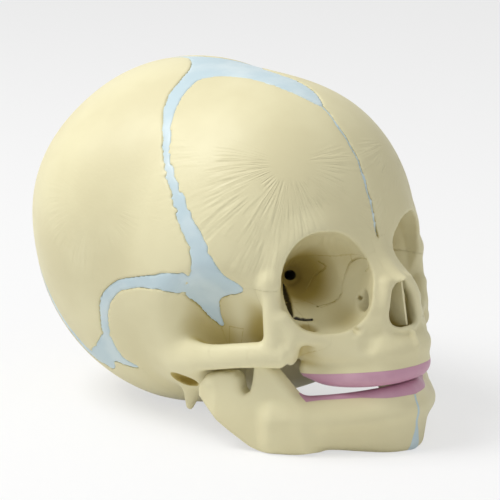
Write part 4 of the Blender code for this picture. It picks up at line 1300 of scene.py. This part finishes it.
@dataclass
class LowerJaw:
    """The two halves of the lower jaw with their gum and the cartilage at the chin."""

    cell: float = 0.5
    low: Point = (-3, -76, -3)
    high: Point = (45, -8, 34)
    hairline: float = 0.03
    foot: Course = ((0, -62.9, 2.1, 3.0), (5.6, -60.1, 2.3, 3.0), (11.4, -55.4, 3.2, 3.0), (17.2, -50.1, 3.8, 3.0),
                    (23.5, -44.0, 3.4, 3.0), (28.3, -38.4, 2.8, 3.0))
    lower: Course = ((0, -62.8, 6.2, 3.3), (5.8, -60.2, 6.2, 3.3), (11.4, -55.9, 6.4, 3.3), (17.2, -50.8, 6.6, 3.3),
                     (23.6, -44.9, 6.2, 3.3), (28.4, -39.0, 6.0, 3.3))
    full: Course = ((0, -62.8, 11.4, 3.9), (6.0, -61.0, 11.2, 3.9), (12.4, -57.4, 10.8, 3.9),
                    (18, -52.2, 10.5, 3.9), (24, -45.6, 10.4, 3.9), (28.6, -39.5, 10.2, 3.9))
    upper: Course = ((0, -61.4, 13.8, 2.9), (5.8, -59.9, 13.6, 2.9), (11.8, -55.8, 13.4, 2.9),
                     (17.4, -50.8, 13.2, 2.9), (23.4, -44.4, 13.0, 2.9), (28.2, -38.8, 12.8, 2.9))
    gum: Course = ((0, -62.1, 15.9, 3.1), (5.7, -60.2, 15.5, 2.8), (11.2, -55.4, 14.7, 2.4),
                   (17.4, -50.8, 13.9, 2.4), (22.2, -45.8, 13.3, 2.2))
    chin: Course = ((0, -63.0, 1.4, 1.9), (4.5, -62.0, 1.4, 1.7), (8.5, -59.4, 1.7, 1.2))
    branch: Outline = ((-48.0, 13), (-44.8, 16.8), (-41.8, 20.7), (-38.6, 24.5), (-37.4, 27.5), (-35.2, 27),
                       (-34.2, 24.0), (-33.8, 20.5), (-33.0, 17.2), (-31.4, 16.0), (-30.2, 17.2), (-29.8, 20.6),
                       (-28.4, 22.2), (-24.5, 21.7), (-20.4, 20.0), (-18.3, 18.2), (-16.9, 15.8), (-17.2, 13.4),
                       (-21.4, 9.8), (-26.6, 5.6), (-32.6, 1.0), (-37.2, -0.9), (-43, -0.4), (-49, 1))
    branch_x: float = 33.4
    branch_start: float = -24.0
    branch_toe: float = 0.40
    branch_lean: float = 0.06
    branch_half: float = 2.3
    angle_swell: float = 1.0
    angle_height: float = 6.0
    angle_reach: float = 7.0
    branch_edge: float = 1.3
    joint: tuple[Point, Point, float] = ((29.8, -22.2, 18.3), (34.2, -22.2, 18.6), 2.4)
    gum_outer: float = 24.5

    def body(self, clay: Clay) -> None:
        """Adds the curved body: a stack of bars, fullest below the gum and drawn in at the foot.

        Args:
            clay: The clay.
        """
        for course in (self.foot, self.lower, self.full, self.upper):
            clay.add(ridge(course), 2.4)
        clay.add(ridge(self.gum), 1.5)
        clay.add(ridge(self.chin), 1.0)

    def ramus(self, clay: Clay) -> None:
        """Adds the upright branch with its joint, notch and front process.

        Args:
            clay: The clay.
        """

        def middle(y: Array, z: Array) -> Array:
            """The plate runs in towards the chin and leans out at the top."""
            return (self.branch_x + self.branch_toe * np.minimum(y - self.branch_start, 0)
                    + self.branch_lean * (z - 14))

        def half(y: Array, z: Array) -> Array:
            """It is thickest at the height of the angle."""
            swell = np.exp(-((z - self.angle_height) / self.angle_reach) ** 2)
            return self.branch_half + self.angle_swell * swell + 0 * y

        clay.add(plate(self.branch, middle, half, self.branch_edge), 2.0)
        clay.add(rod(*self.joint), 1.0)

    def model(self) -> dict[str, bpy.types.Object]:
        """Models the jaw and divides it.

        Returns:
            The pieces by name.
        """
        clay = Clay(self.low, self.high, self.cell)
        self.body(clay)
        self.ramus(clay)
        clay.cut(slab((0, -40, -10), (60, 60, 10)), 0.5)
        saw = Saw(clay.mesh("jaw"), self.hairline)
        found = saw.take("lower_gum", [(View.SIDE, LOWER_GUM, -self.gum_outer, self.gum_outer)], False)
        found.update(saw.take("chin_cartilage", [(View.FRONT, CHIN_WEDGE, -90, -36)], False))
        side = [(-90, -10), (0, -10), (0, 60), (-90, 60)]
        found.update(saw.take("mandible", [(View.SIDE, side, 0, 60)], True))
        bpy.data.objects.remove(saw.rest, do_unlink=True)
        return found


class Tree:
    """Short ways to place and join shader nodes."""

    def __init__(self, tree: bpy.types.NodeTree) -> None:
        """Takes the node tree."""
        self.tree = tree

    def node(self, kind: str, label: str = "", **values: object) -> bpy.types.Node:
        """A node of a kind, with its properties set.

        Args:
            kind: Blender's node type.
            label: What the node does.
            **values: Properties of the node.

        Returns:
            The node.
        """
        made = self.tree.nodes.new(kind)
        made.label = label
        for key, value in values.items():
            setattr(made, key, value)
        return made

    def join(self, source: bpy.types.NodeSocket, target: bpy.types.NodeSocket) -> None:
        """Links two sockets."""
        self.tree.links.new(source, target)

    def ramp(self, source: bpy.types.NodeSocket, low: float, high: float, first: float = 0.0,
             last: float = 1.0) -> bpy.types.NodeSocket:
        """Maps a value from one range to another, held at both ends.

        Args:
            source: The value.
            low: Where the range starts.
            high: Where it ends.
            first: Result at its start.
            last: Result at its end.

        Returns:
            The result.
        """
        step = self.node("ShaderNodeMapRange", interpolation_type="SMOOTHSTEP")
        self.join(source, step.inputs["Value"])
        for key, value in (("From Min", low), ("From Max", high), ("To Min", first), ("To Max", last)):
            step.inputs[key].default_value = value
        return step.outputs["Result"]

    def math(self, operation: str, first: bpy.types.NodeSocket, second: bpy.types.NodeSocket | float
             ) -> bpy.types.NodeSocket:
        """One sum of two values.

        Args:
            operation: Blender's name of the sum.
            first: The first value.
            second: The second, from a socket or as a number.

        Returns:
            The result.
        """
        step = self.node("ShaderNodeMath", operation=operation)
        self.join(first, step.inputs[0])
        if isinstance(second, (int, float)):
            step.inputs[1].default_value = second
        else:
            self.join(second, step.inputs[1])
        return step.outputs[0]

    def blend(self, share: bpy.types.NodeSocket, first: bpy.types.NodeSocket | Point,
              second: bpy.types.NodeSocket | Point) -> bpy.types.NodeSocket:
        """Mixes two colours.

        Args:
            share: Share of the second.
            first: The first colour.
            second: The second colour.

        Returns:
            The mixed colour.
        """
        step = self.node("ShaderNodeMix", data_type="RGBA")
        self.join(share, step.inputs[0])
        for socket, value in ((step.inputs[6], first), (step.inputs[7], second)):
            if isinstance(value, tuple):
                socket.default_value = (*value, 1.0)
            else:
                self.join(value, socket)
        return step.outputs[2]

    def inverse(self, source: bpy.types.NodeSocket) -> bpy.types.NodeSocket:
        """One over a size, as a texture's scale.

        Args:
            source: The size.

        Returns:
            The scale.
        """
        step = self.node("ShaderNodeMath", operation="DIVIDE")
        step.inputs[0].default_value = 1.0
        self.join(source, step.inputs[1])
        return step.outputs[0]

    def bump(self, height: bpy.types.NodeSocket, depth: float, strength: float, shader: bpy.types.Node) -> None:
        """Gives a shader a relief.

        Args:
            height: The relief, from 0 to 1.
            depth: Its depth in metres.
            strength: How strongly it shows.
            shader: The shader.
        """
        step = self.node("ShaderNodeBump")
        step.inputs["Distance"].default_value = depth
        step.inputs["Strength"].default_value = strength
        self.join(height, step.inputs["Height"])
        self.join(step.outputs["Normal"], shader.inputs["Normal"])

    def seen(self) -> bpy.types.NodeSocket:
        """1 for rays that end in the picture: straight, mirrored or through glass."""
        rays = self.node("ShaderNodeLightPath").outputs
        straight = self.math("MAXIMUM", rays["Is Camera Ray"], rays["Is Glossy Ray"])
        return self.math("MAXIMUM", straight, rays["Is Transmission Ray"])

    def between(self, source: bpy.types.NodeSocket, start: bpy.types.NodeSocket,
                reach: bpy.types.NodeSocket) -> bpy.types.NodeSocket:
        """Rises after a start and fades before a reach.

        Args:
            source: The value.
            start: Where it begins to rise.
            reach: Where it has faded.

        Returns:
            A mask from 0 to 1.
        """
        rise = self.math("DIVIDE", self.math("SUBTRACT", source, start), 0.004)
        fall = self.math("DIVIDE", self.math("SUBTRACT", reach, source), 0.010)
        return self.ramp(self.math("MINIMUM", rise, fall), 0.0, 1.0)


def new_group(name: str, inputs: Iterable[tuple[str, str, object]], outputs: Iterable[tuple[str, str]]
              ) -> tuple[bpy.types.NodeTree, Tree, bpy.types.Node, bpy.types.Node]:
    """An empty shader group.

    Args:
        name: Its name.
        inputs: Name, socket type and default of each input.
        outputs: Name and socket type of each output.

    Returns:
        The group, its tree helper, and its input and output nodes.
    """
    group = bpy.data.node_groups.new(name, "ShaderNodeTree")
    for label, kind, default in inputs:
        socket = group.interface.new_socket(label, in_out="INPUT", socket_type=kind)
        socket.default_value = default
    for label, kind in outputs:
        group.interface.new_socket(label, in_out="OUTPUT", socket_type=kind)
    tree = Tree(group)
    return group, tree, tree.node("NodeGroupInput"), tree.node("NodeGroupOutput")


class Effects:
    """Shader groups that several finishes share."""

    def __init__(self) -> None:
        """Builds the groups."""
        self.cast = self._cast()
        self.striae = self._striae()

    def start(self, name: str, cloud: float, grain: float
              ) -> tuple[bpy.types.Material, Tree, bpy.types.Node, bpy.types.Node]:
        """A new material with the cast surface placed in it.

        Args:
            name: Its name.
            cloud: Size of its clouds of tone, in metres.
            grain: Size of its grain, in metres.

        Returns:
            The material, its tree helper, its shader and the cast surface.
        """
        material = bpy.data.materials.new(name)
        material.use_nodes = True
        tree = Tree(material.node_tree)
        cast = tree.node("ShaderNodeGroup", node_tree=self.cast)
        tree.join(tree.node("ShaderNodeTexCoord").outputs["Object"], cast.inputs["Place"])
        cast.inputs["Cloud Size"].default_value = cloud
        cast.inputs["Grain Size"].default_value = grain
        return material, tree, material.node_tree.nodes["Principled BSDF"], cast

    @staticmethod
    def _cast() -> bpy.types.NodeTree:
        """Cloudy tone and the fine, slightly pitted surface of cast resin.

        Returns:
            The group.
        """
        group, tree, given, put = new_group(
            "Cast Resin", (("Place", "NodeSocketVector", (0, 0, 0)), ("Cloud Size", "NodeSocketFloat", 0.02),
                           ("Grain Size", "NodeSocketFloat", 0.0006)),
            (("Cloud", "NodeSocketFloat"), ("Relief", "NodeSocketFloat")))
        clouds = tree.node("ShaderNodeTexNoise", "clouds of tone")
        tree.join(given.outputs["Place"], clouds.inputs["Vector"])
        tree.join(tree.inverse(given.outputs["Cloud Size"]), clouds.inputs["Scale"])
        clouds.inputs["Detail"].default_value = 3.0
        grain = tree.node("ShaderNodeTexNoise", "grain of the casting")
        tree.join(given.outputs["Place"], grain.inputs["Vector"])
        tree.join(tree.inverse(given.outputs["Grain Size"]), grain.inputs["Scale"])
        grain.inputs["Detail"].default_value = 4.0
        tree.join(clouds.outputs["Fac"], put.inputs["Cloud"])
        tree.join(grain.outputs["Fac"], put.inputs["Relief"])
        return group

    @staticmethod
    def _striae() -> bpy.types.NodeTree:
        """Fine ridges that radiate from the middle of a young skull bone.

        Returns:
            The group.
        """
        group, tree, given, put = new_group(
            "Radiating Striae",
            (("Place", "NodeSocketVector", (0, 0, 0)), ("Centre", "NodeSocketVector", (0.02, -0.036, 0.079)),
             ("Across", "NodeSocketVector", (0.8, 0.5, 0)), ("Upwards", "NodeSocketVector", (0, 0.6, 0.8)),
             ("Start", "NodeSocketFloat", 0.006), ("Reach", "NodeSocketFloat", 0.028)),
            (("Ridges", "NodeSocketFloat"),))
        halves = tree.node("ShaderNodeVectorMath", "both sides alike", operation="ABSOLUTE")
        tree.join(given.outputs["Place"], halves.inputs[0])
        split = tree.node("ShaderNodeSeparateXYZ")
        tree.join(halves.outputs[0], split.inputs[0])
        whole = tree.node("ShaderNodeSeparateXYZ")
        tree.join(given.outputs["Place"], whole.inputs[0])
        place = tree.node("ShaderNodeCombineXYZ")
        tree.join(split.outputs[0], place.inputs[0])
        tree.join(whole.outputs[1], place.inputs[1])
        tree.join(whole.outputs[2], place.inputs[2])
        offset = tree.node("ShaderNodeVectorMath", operation="SUBTRACT")
        tree.join(place.outputs[0], offset.inputs[0])
        tree.join(given.outputs["Centre"], offset.inputs[1])
        sides = []
        for label in ("Across", "Upwards"):
            dot = tree.node("ShaderNodeVectorMath", operation="DOT_PRODUCT")
            tree.join(offset.outputs[0], dot.inputs[0])
            tree.join(given.outputs[label], dot.inputs[1])
            sides.append(dot.outputs["Value"])
        angle = tree.math("ARCTAN2", sides[1], sides[0])
        length = tree.node("ShaderNodeVectorMath", operation="LENGTH")
        tree.join(offset.outputs[0], length.inputs[0])
        radius = length.outputs["Value"]
        fan = tree.node("ShaderNodeCombineXYZ", "angle and distance")
        tree.join(tree.math("MULTIPLY", angle, 15.0), fan.inputs[0])
        tree.join(tree.math("MULTIPLY", radius, 85.0), fan.inputs[1])
        lines = tree.node("ShaderNodeTexNoise", "ridges")
        tree.join(fan.outputs[0], lines.inputs["Vector"])
        lines.inputs["Scale"].default_value = 1.0
        lines.inputs["Detail"].default_value = 1.5
        patches = tree.node("ShaderNodeTexNoise", "where the ridges show")
        tree.join(place.outputs[0], patches.inputs["Vector"])
        patches.inputs["Scale"].default_value = 85.0
        inside = tree.between(radius, given.outputs["Start"], given.outputs["Reach"])
        below = tree.ramp(tree.math("DIVIDE", sides[1], radius), 0.05, 0.6, 1.0, 0.0)
        inside = tree.math("MULTIPLY", inside, below)
        shown = tree.math("MULTIPLY", inside, tree.ramp(patches.outputs["Fac"], 0.40, 0.58))
        level = tree.math("SUBTRACT", lines.outputs["Fac"], 0.5)
        tree.join(tree.math("MULTIPLY", level, shown), put.inputs["Ridges"])
        return group


@dataclass(frozen=True)
class Fan:
    """One fan of striae: its middle, its two directions, where it shows and how strongly."""

    centre: Point
    across: Point
    upwards: Point
    start: float
    reach: float
    strength: float


@dataclass(frozen=True)
class Bone:
    """Ivory resin, with painted shade that makes it deeper in colour where the skull is hollow and nearly black in the
    fissure and the optic canal.
    """

    name: str = "ivory_resin"
    light: Point = (0.78, 0.725, 0.465)
    dark: Point = (0.73, 0.67, 0.42)
    # Painted shade: the brown of enclosed places, such as the orbits, the temples and the ear's recess
    hollow: Point = (0.47, 0.37, 0.11)
    # Painted shade: the near black of the fissure and the optic canal
    slot_shade_colour: Point = (0.012, 0.010, 0.007)
    hollow_shade_range: Flat = (0.35, 0.55)
    slot_shade_range: Flat = (0.2, 0.8)
    cloud_range: Flat = (0.35, 0.68)
    cloud: float = 0.024
    grain: float = 0.0011
    relief: float = 0.10
    roughness: float = 0.52
    specular: float = 0.35
    bump_depth: float = 0.0006
    bump_strength: float = 0.8
    fans: tuple[Fan, ...] = (
        Fan((0.0205, -0.0365, 0.0790), (0.845, 0.520, 0.10), (-0.31, 0.33, 0.89), 0.004, 0.040, 1.15),
        Fan((0.0440, 0.0120, 0.0640), (0.10, 0.995, 0.0), (-0.55, 0.05, 0.83), 0.006, 0.026, 0.35),
    )

    def material(self, effects: Effects) -> bpy.types.Material:
        """Builds the material.

        Args:
            effects: The shared shader groups.

        Returns:
            The material.
        """
        material, tree, shader, cast = effects.start(self.name, self.cloud, self.grain)
        tone = tree.blend(tree.ramp(cast.outputs["Cloud"], *self.cloud_range), self.dark, self.light)
        # Painted shade: the tone turns brown where the skull is enclosed, and nearly black at the fissure and the
        # optic canal
        depth = tree.node("ShaderNodeAttribute", "depth of the hollow", attribute_name="hollow")
        shade = tree.ramp(depth.outputs["Fac"], *self.hollow_shade_range)
        dark = tree.node("ShaderNodeAttribute", "dark slots", attribute_name="slot_shade")
        slot_shade = tree.ramp(dark.outputs["Fac"], *self.slot_shade_range)
        tree.join(tree.blend(slot_shade, tree.blend(shade, tone, self.hollow), self.slot_shade_colour),
                  shader.inputs["Base Color"])
        tree.join(tree.ramp(cast.outputs["Cloud"], 0.3, 0.7, self.roughness + 0.05, self.roughness - 0.04),
                  shader.inputs["Roughness"])
        shader.inputs["Specular IOR Level"].default_value = self.specular
        height = tree.math("MULTIPLY", cast.outputs["Relief"], self.relief)
        place = tree.node("ShaderNodeTexCoord").outputs["Object"]
        for fan in self.fans:
            striae = tree.node("ShaderNodeGroup", node_tree=effects.striae)
            tree.join(place, striae.inputs["Place"])
            for label, value in (("Centre", fan.centre), ("Across", fan.across), ("Upwards", fan.upwards),
                                 ("Start", fan.start), ("Reach", fan.reach)):
                striae.inputs[label].default_value = value
            height = tree.math("ADD", height, tree.math("MULTIPLY", striae.outputs["Ridges"], fan.strength))
        tree.bump(height, self.bump_depth, self.bump_strength, shader)
        return material


@dataclass(frozen=True)
class Tinted:
    """A cast surface painted in one colour with a cloudy tone."""

    name: str
    light: Point
    dark: Point
    roughness: float
    specular: float = 0.35
    cloud: float = 0.012
    grain: float = 0.0010
    relief: float = 0.12
    bump_depth: float = 0.0004
    bump_strength: float = 0.6

    def material(self, effects: Effects) -> bpy.types.Material:
        """Builds the material.

        Args:
            effects: The shared shader groups.

        Returns:
            The material.
        """
        material, tree, shader, cast = effects.start(self.name, self.cloud, self.grain)
        tree.join(tree.blend(tree.ramp(cast.outputs["Cloud"], 0.35, 0.68), self.dark, self.light),
                  shader.inputs["Base Color"])
        tree.join(tree.ramp(cast.outputs["Cloud"], 0.3, 0.7, self.roughness + 0.05, self.roughness - 0.05),
                  shader.inputs["Roughness"])
        shader.inputs["Specular IOR Level"].default_value = self.specular
        tree.bump(tree.math("MULTIPLY", cast.outputs["Relief"], self.relief), self.bump_depth, self.bump_strength,
                  shader)
        return material


@dataclass(frozen=True)
class Steel:
    """Plain drawn wire."""

    name: str = "wire_steel"
    colour: Point = (0.60, 0.60, 0.62)
    shaded_share: float = 0.8
    cloud: float = 0.001
    grain: float = 0.0002
    roughness: float = 0.3

    def material(self, effects: Effects) -> bpy.types.Material:
        """Builds the material.

        Args:
            effects: The shared shader groups.

        Returns:
            The material.
        """
        material, tree, shader, cast = effects.start(self.name, self.cloud, self.grain)
        shaded = tuple(channel * self.shaded_share for channel in self.colour)
        tree.join(tree.blend(cast.outputs["Cloud"], self.colour, shaded), shader.inputs["Base Color"])
        tree.join(tree.ramp(cast.outputs["Relief"], 0.3, 0.7, self.roughness - 0.08, self.roughness + 0.12),
                  shader.inputs["Roughness"])
        shader.inputs["Metallic"].default_value = 1.0
        return material


BLUE_MEMBRANE = Tinted("blue_membrane", (0.63, 0.74, 0.77), (0.53, 0.66, 0.71), 0.45)
PINK_GUM = Tinted("pink_gum", (0.66, 0.39, 0.49), (0.57, 0.31, 0.41), 0.42)


@dataclass(frozen=True)
class Lamp:
    """A square soft light: where it hangs, its side in metres and its power in watts."""

    name: str
    place: Point
    size: float
    power: float


@dataclass
class Studio:
    """Table, light and the camera at the photograph's angle."""

    azimuth: float = -47.0
    elevation: float = 13.0
    distance: float = 0.7908
    focal_pixels: float = 2720.0
    picture: float = 500.0
    aim_right: float = 0.0026
    aim_up: float = 0.0449
    sensor: float = 36.0
    key: Lamp = Lamp("key", (-0.42, 0.32, 0.9), 0.5, 8.0)
    fill: Lamp = Lamp("fill", (0.1, -0.9, 0.45), 0.6, 0.7)
    lit: Point = (0, 0, 0.05)
    soft_light: float = 0.42
    table_side: float = 8.0
    table_colour: Point = (0.86, 0.86, 0.86)
    table_glow: float = 0.62

    def camera(self) -> None:
        """Places the camera."""
        turn, rise = math.radians(self.azimuth), math.radians(self.elevation)
        back = Vector((math.sin(turn) * math.cos(rise), -math.cos(turn) * math.cos(rise), math.sin(rise)))
        right = Vector((math.cos(turn), math.sin(turn), 0))
        above = back.cross(right)
        data = bpy.data.cameras.new("camera")
        data.sensor_width = self.sensor
        data.lens = self.focal_pixels / self.picture * data.sensor_width
        data.clip_start, data.clip_end = 0.05, 20.0
        camera = bpy.data.objects.new("camera", data)
        bpy.context.scene.collection.objects.link(camera)
        camera.location = right * self.aim_right + above * self.aim_up + back * self.distance
        camera.rotation_mode = "QUATERNION"
        camera.rotation_quaternion = (-back).to_track_quat("-Z", "Y")
        bpy.context.scene.camera = camera

    def lamp(self, lamp: Lamp) -> None:
        """Hangs a light that looks at the skull.

        Args:
            lamp: The light.
        """
        data = bpy.data.lights.new(lamp.name, "AREA")
        data.size = lamp.size
        data.energy = lamp.power
        light = bpy.data.objects.new(lamp.name, data)
        bpy.context.scene.collection.objects.link(light)
        light.location = lamp.place
        light.rotation_mode = "QUATERNION"
        light.rotation_quaternion = (Vector(self.lit) - Vector(lamp.place)).to_track_quat("-Z", "Y")

    def table(self) -> None:
        """Lays a wide white table that keeps the skull's soft shadow."""
        bpy.ops.mesh.primitive_plane_add(size=self.table_side, location=(0, 0, 0))
        floor = bpy.context.object
        floor.name = "table_top"
        material = bpy.data.materials.new("white_table")
        material.use_nodes = True
        tree = Tree(material.node_tree)
        shader = material.node_tree.nodes["Principled BSDF"]
        shader.inputs["Base Color"].default_value = (*self.table_colour, 1)
        shader.inputs["Roughness"].default_value = 0.8
        shader.inputs["Specular IOR Level"].default_value = 0.1
        glow = tree.node("ShaderNodeEmission")
        glow.inputs["Strength"].default_value = 1.0
        mix = tree.node("ShaderNodeMixShader")
        tree.join(tree.math("MULTIPLY", tree.seen(), self.table_glow), mix.inputs[0])
        tree.join(shader.outputs[0], mix.inputs[1])
        tree.join(glow.outputs[0], mix.inputs[2])
        tree.join(mix.outputs[0], material.node_tree.nodes["Material Output"].inputs["Surface"])
        floor.data.materials.append(material)

    def world(self) -> None:
        """Sets up even light from all round, white in the picture."""
        world = bpy.data.worlds.new("studio")
        world.use_nodes = True
        bpy.context.scene.world = world
        tree = Tree(world.node_tree)
        soft = world.node_tree.nodes["Background"]
        soft.inputs["Color"].default_value = (1, 1, 1, 1)
        soft.inputs["Strength"].default_value = self.soft_light
        white = tree.node("ShaderNodeBackground")
        white.inputs["Strength"].default_value = 1.0
        mix = tree.node("ShaderNodeMixShader")
        tree.join(tree.seen(), mix.inputs[0])
        tree.join(soft.outputs[0], mix.inputs[1])
        tree.join(white.outputs[0], mix.inputs[2])
        tree.join(mix.outputs[0], world.node_tree.nodes["World Output"].inputs["Surface"])

    def build(self) -> None:
        """Sets up the whole studio."""
        self.camera()
        self.table()
        self.world()
        self.lamp(self.key)
        self.lamp(self.fill)
        bpy.context.scene.view_settings.view_transform = "Standard"


@dataclass
class Assembly:
    """Dresses the pieces and hands them to the bodies."""

    skull: Skull
    wander: float = 0.21
    wander_width: float = 5.0
    wander_waves: tuple[Flat, ...] = ((1.0, 0.42), (0.6, 1.13))
    wander_front: Flat = (20.0, 30.0)
    wander_rise: Flat = (58.0, 66.0)
    stand_off: float = 2.0
    # Painted shade in the ear's recess: the enclosure it is given there at most, and the width over which it fades
    ear_pit_shade: float = 0.75
    ear_fade: float = 0.8
    # Painted shade near the fissure and the optic canal: how far the near black fades out, and how much wider the
    # canal is taken
    slot_fade: float = 0.35
    slot_swell: float = 0.05
    sharp_angle: float = 50.0

    def __post_init__(self) -> None:
        """Builds the finishes and measures how enclosed each place of the skull is, for the painted shade in its
        hollows.
        """
        effects = Effects()
        self.bone = Bone().material(effects)
        self.membrane = BLUE_MEMBRANE.material(effects)
        self.gum = PINK_GUM.material(effects)
        self.steel = Steel().material(effects)
        self.openness = self.skull.enclosure()
        self.cranium = Cranium()

    def bend_midline(self, thing: bpy.types.Object) -> None:
        """Lets the suture of the forehead waver a little from side to side.

        Args:
            thing: A piece of the cranium.
        """
        points = read_points(thing.data, "co")
        x, y, z = (points[:, i] / MM for i in range(3))
        near = np.exp(-(x / self.wander_width) ** 2) * gentle(-y, *self.wander_front) * gentle(z, *self.wander_rise)
        (first, slow), (second, quick) = self.wander_waves
        shift = self.wander * (first * np.sin(z * slow) + second * np.sin(z * quick + 1.0))
        points[:, 0] += near * shift * MM
        thing.data.vertices.foreach_set("co", points.ravel())
        thing.data.update()

    def paint_hollow_shade(self, thing: bpy.types.Object) -> None:
        """Writes as attributes the painted shade of a bone: how enclosed each place is, and how near it lies to the
        fissure and canal.

        Args:
            thing: The bone.
        """
        mesh = thing.data
        points = read_points(mesh, "co") / MM
        places = points + read_points(mesh, "normal") * self.stand_off
        x, y, z = np.abs(points[:, 0]), points[:, 1], points[:, 2]
        # Painted shade: browner with enclosure, raised in the ear's recess, and nearly black near the fissure and the
        # optic canal
        ear = np.clip(1 - self.cranium.ear_pit().distance(x, y, z) / self.ear_fade, 0, self.ear_pit_shade)
        hollow = np.clip(np.maximum(self.skull.clay.sample(self.openness, places), ear), 0, 1)
        near = np.minimum(self.cranium.fissure().distance(x, y, z),
                          self.cranium.canal(self.slot_swell).distance(x, y, z))
        for name, values in (("hollow", hollow), ("slot_shade", np.clip(1 - near / self.slot_fade, 0, 1))):
            layer = mesh.attributes.new(name, "FLOAT", "POINT")
            layer.data.foreach_set("value", values.astype(np.float32))

    def finish_of(self, node: str) -> tuple[bpy.types.Material, str]:
        """The material and the record's slot of a node.

        Args:
            node: The CAD node.

        Returns:
            The material and the name of the slot.
        """
        if any(word in node for word in ("suture", "fontanelle", "cartilage")):
            return self.membrane, "membrane"
        if "gum" in node:
            return self.gum, "gum"
        return self.bone, "shaded_bone" if node in ("sphenoid_bone", "ethmoid_bone") else "bone"

    def dress(self, node: str, thing: bpy.types.Object) -> None:
        """Gives a piece its finish and its body, and puts it in the place of a CAD node.

        Args:
            node: The CAD node.
            thing: The piece.
        """
        material, slot = self.finish_of(node)
        if material is self.bone:
            self.paint_hollow_shade(thing)
        body = Body.MANDIBLE if any(word in node for word in ("mandible", "lower", "chin")) else Body.CRANIUM
        if body is Body.CRANIUM:
            self.bend_midline(thing)
        thing.data.materials.clear()
        thing.data.materials.append(material)
        thing.data.shade_smooth()
        thing.data.set_sharp_from_angle(angle=math.radians(self.sharp_angle))
        thing.name = thing.data.name = "cast_" + node
        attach(thing, body.value)
        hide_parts(node)
        LOG.info("%s: %d faces for %s", thing.name, len(thing.data.polygons), node)

    def dress_pins(self) -> None:
        """Gives the two jaw pins, which keep their CAD solids, their steel."""
        for node in ("jaw_pin_L", "jaw_pin_R"):
            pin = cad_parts[node]
            pin.data.materials.clear()
            pin.data.materials.append(self.steel)
            LOG.info("%s: CAD solid in steel", node)


@dataclass(frozen=True)
class Septum:
    """The thin curved wall in the middle of the nose."""

    length: float = 21.0
    height: float = 14.0
    thickness: float = 0.8
    centre: Point = (0.2, -50.0, 39.8)
    bend: float = 10.0
    lean: float = 10.0

    def build(self) -> bpy.types.Object:
        """Models the wall by hand: a box, subdivided, bent and turned into the nose.

        Returns:
            The wall.
        """
        bpy.ops.object.select_all(action="DESELECT")
        bpy.ops.mesh.primitive_cube_add(size=1.0, location=(0, 0, 0))
        thing = bpy.context.object
        bpy.ops.object.mode_set(mode="EDIT")
        bpy.ops.mesh.select_all(action="SELECT")
        bpy.ops.transform.resize(value=(self.length * MM, self.thickness * MM, self.height * MM))
        bpy.ops.mesh.subdivide(number_cuts=9)
        bpy.ops.object.mode_set(mode="OBJECT")
        bend = thing.modifiers.new("bend", "SIMPLE_DEFORM")
        bend.deform_method = "BEND"
        bend.deform_axis = "Z"
        bend.angle = math.radians(self.bend)
        bpy.ops.object.modifier_apply(modifier=bend.name)
        bpy.ops.object.mode_set(mode="EDIT")
        bpy.ops.mesh.select_all(action="SELECT")
        bpy.ops.transform.rotate(value=math.radians(90), orient_axis="Z", center_override=(0, 0, 0))
        bpy.ops.transform.rotate(value=math.radians(self.lean), orient_axis="X", center_override=(0, 0, 0))
        bpy.ops.transform.translate(value=tuple(value * MM for value in self.centre))
        bpy.ops.object.mode_set(mode="OBJECT")
        return thing


def blurred(field: Array, cells: int) -> Array:
    """Mean of a field over a cube round each place.

    Args:
        field: The field.
        cells: Half the side of the cube, in cells.

    Returns:
        The means.
    """
    result = field.astype(np.float32)
    for axis in range(3):
        padded = np.concatenate([np.repeat(np.take(result, [0], axis), cells + 1, axis), result,
                                 np.repeat(np.take(result, [-1], axis), cells, axis)], axis)
        total = np.cumsum(padded, axis, dtype=np.float64)
        size = result.shape[axis]
        high = np.take(total, np.arange(2 * cells + 1, 2 * cells + 1 + size), axis)
        low = np.take(total, np.arange(0, size), axis)
        result = ((high - low) / (2 * cells + 1)).astype(np.float32)
    return result


def read_points(mesh: bpy.types.Mesh, what: str) -> Array:
    """The places or normals of a mesh's vertices.

    Args:
        mesh: The mesh.
        what: co or normal.

    Returns:
        One to a row.
    """
    values = np.empty(len(mesh.vertices) * 3, np.float32)
    mesh.vertices.foreach_get(what, values)
    return values.reshape(-1, 3)


def main() -> None:
    """Builds the skull and the studio."""
    logging.basicConfig(level=logging.INFO, format="%(name)s: %(message)s")
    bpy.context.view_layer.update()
    skull = Skull()
    pieces = skull.model()
    pieces.update(LowerJaw(cell=skull.clay.cell).model())
    pieces["nasal_septum"] = Septum().build()
    assembly = Assembly(skull)
    for node, piece in pieces.items():
        assembly.dress(node, piece)
    assembly.dress_pins()
    Studio().build()
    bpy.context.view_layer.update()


if __name__ == "__main__":
    main()
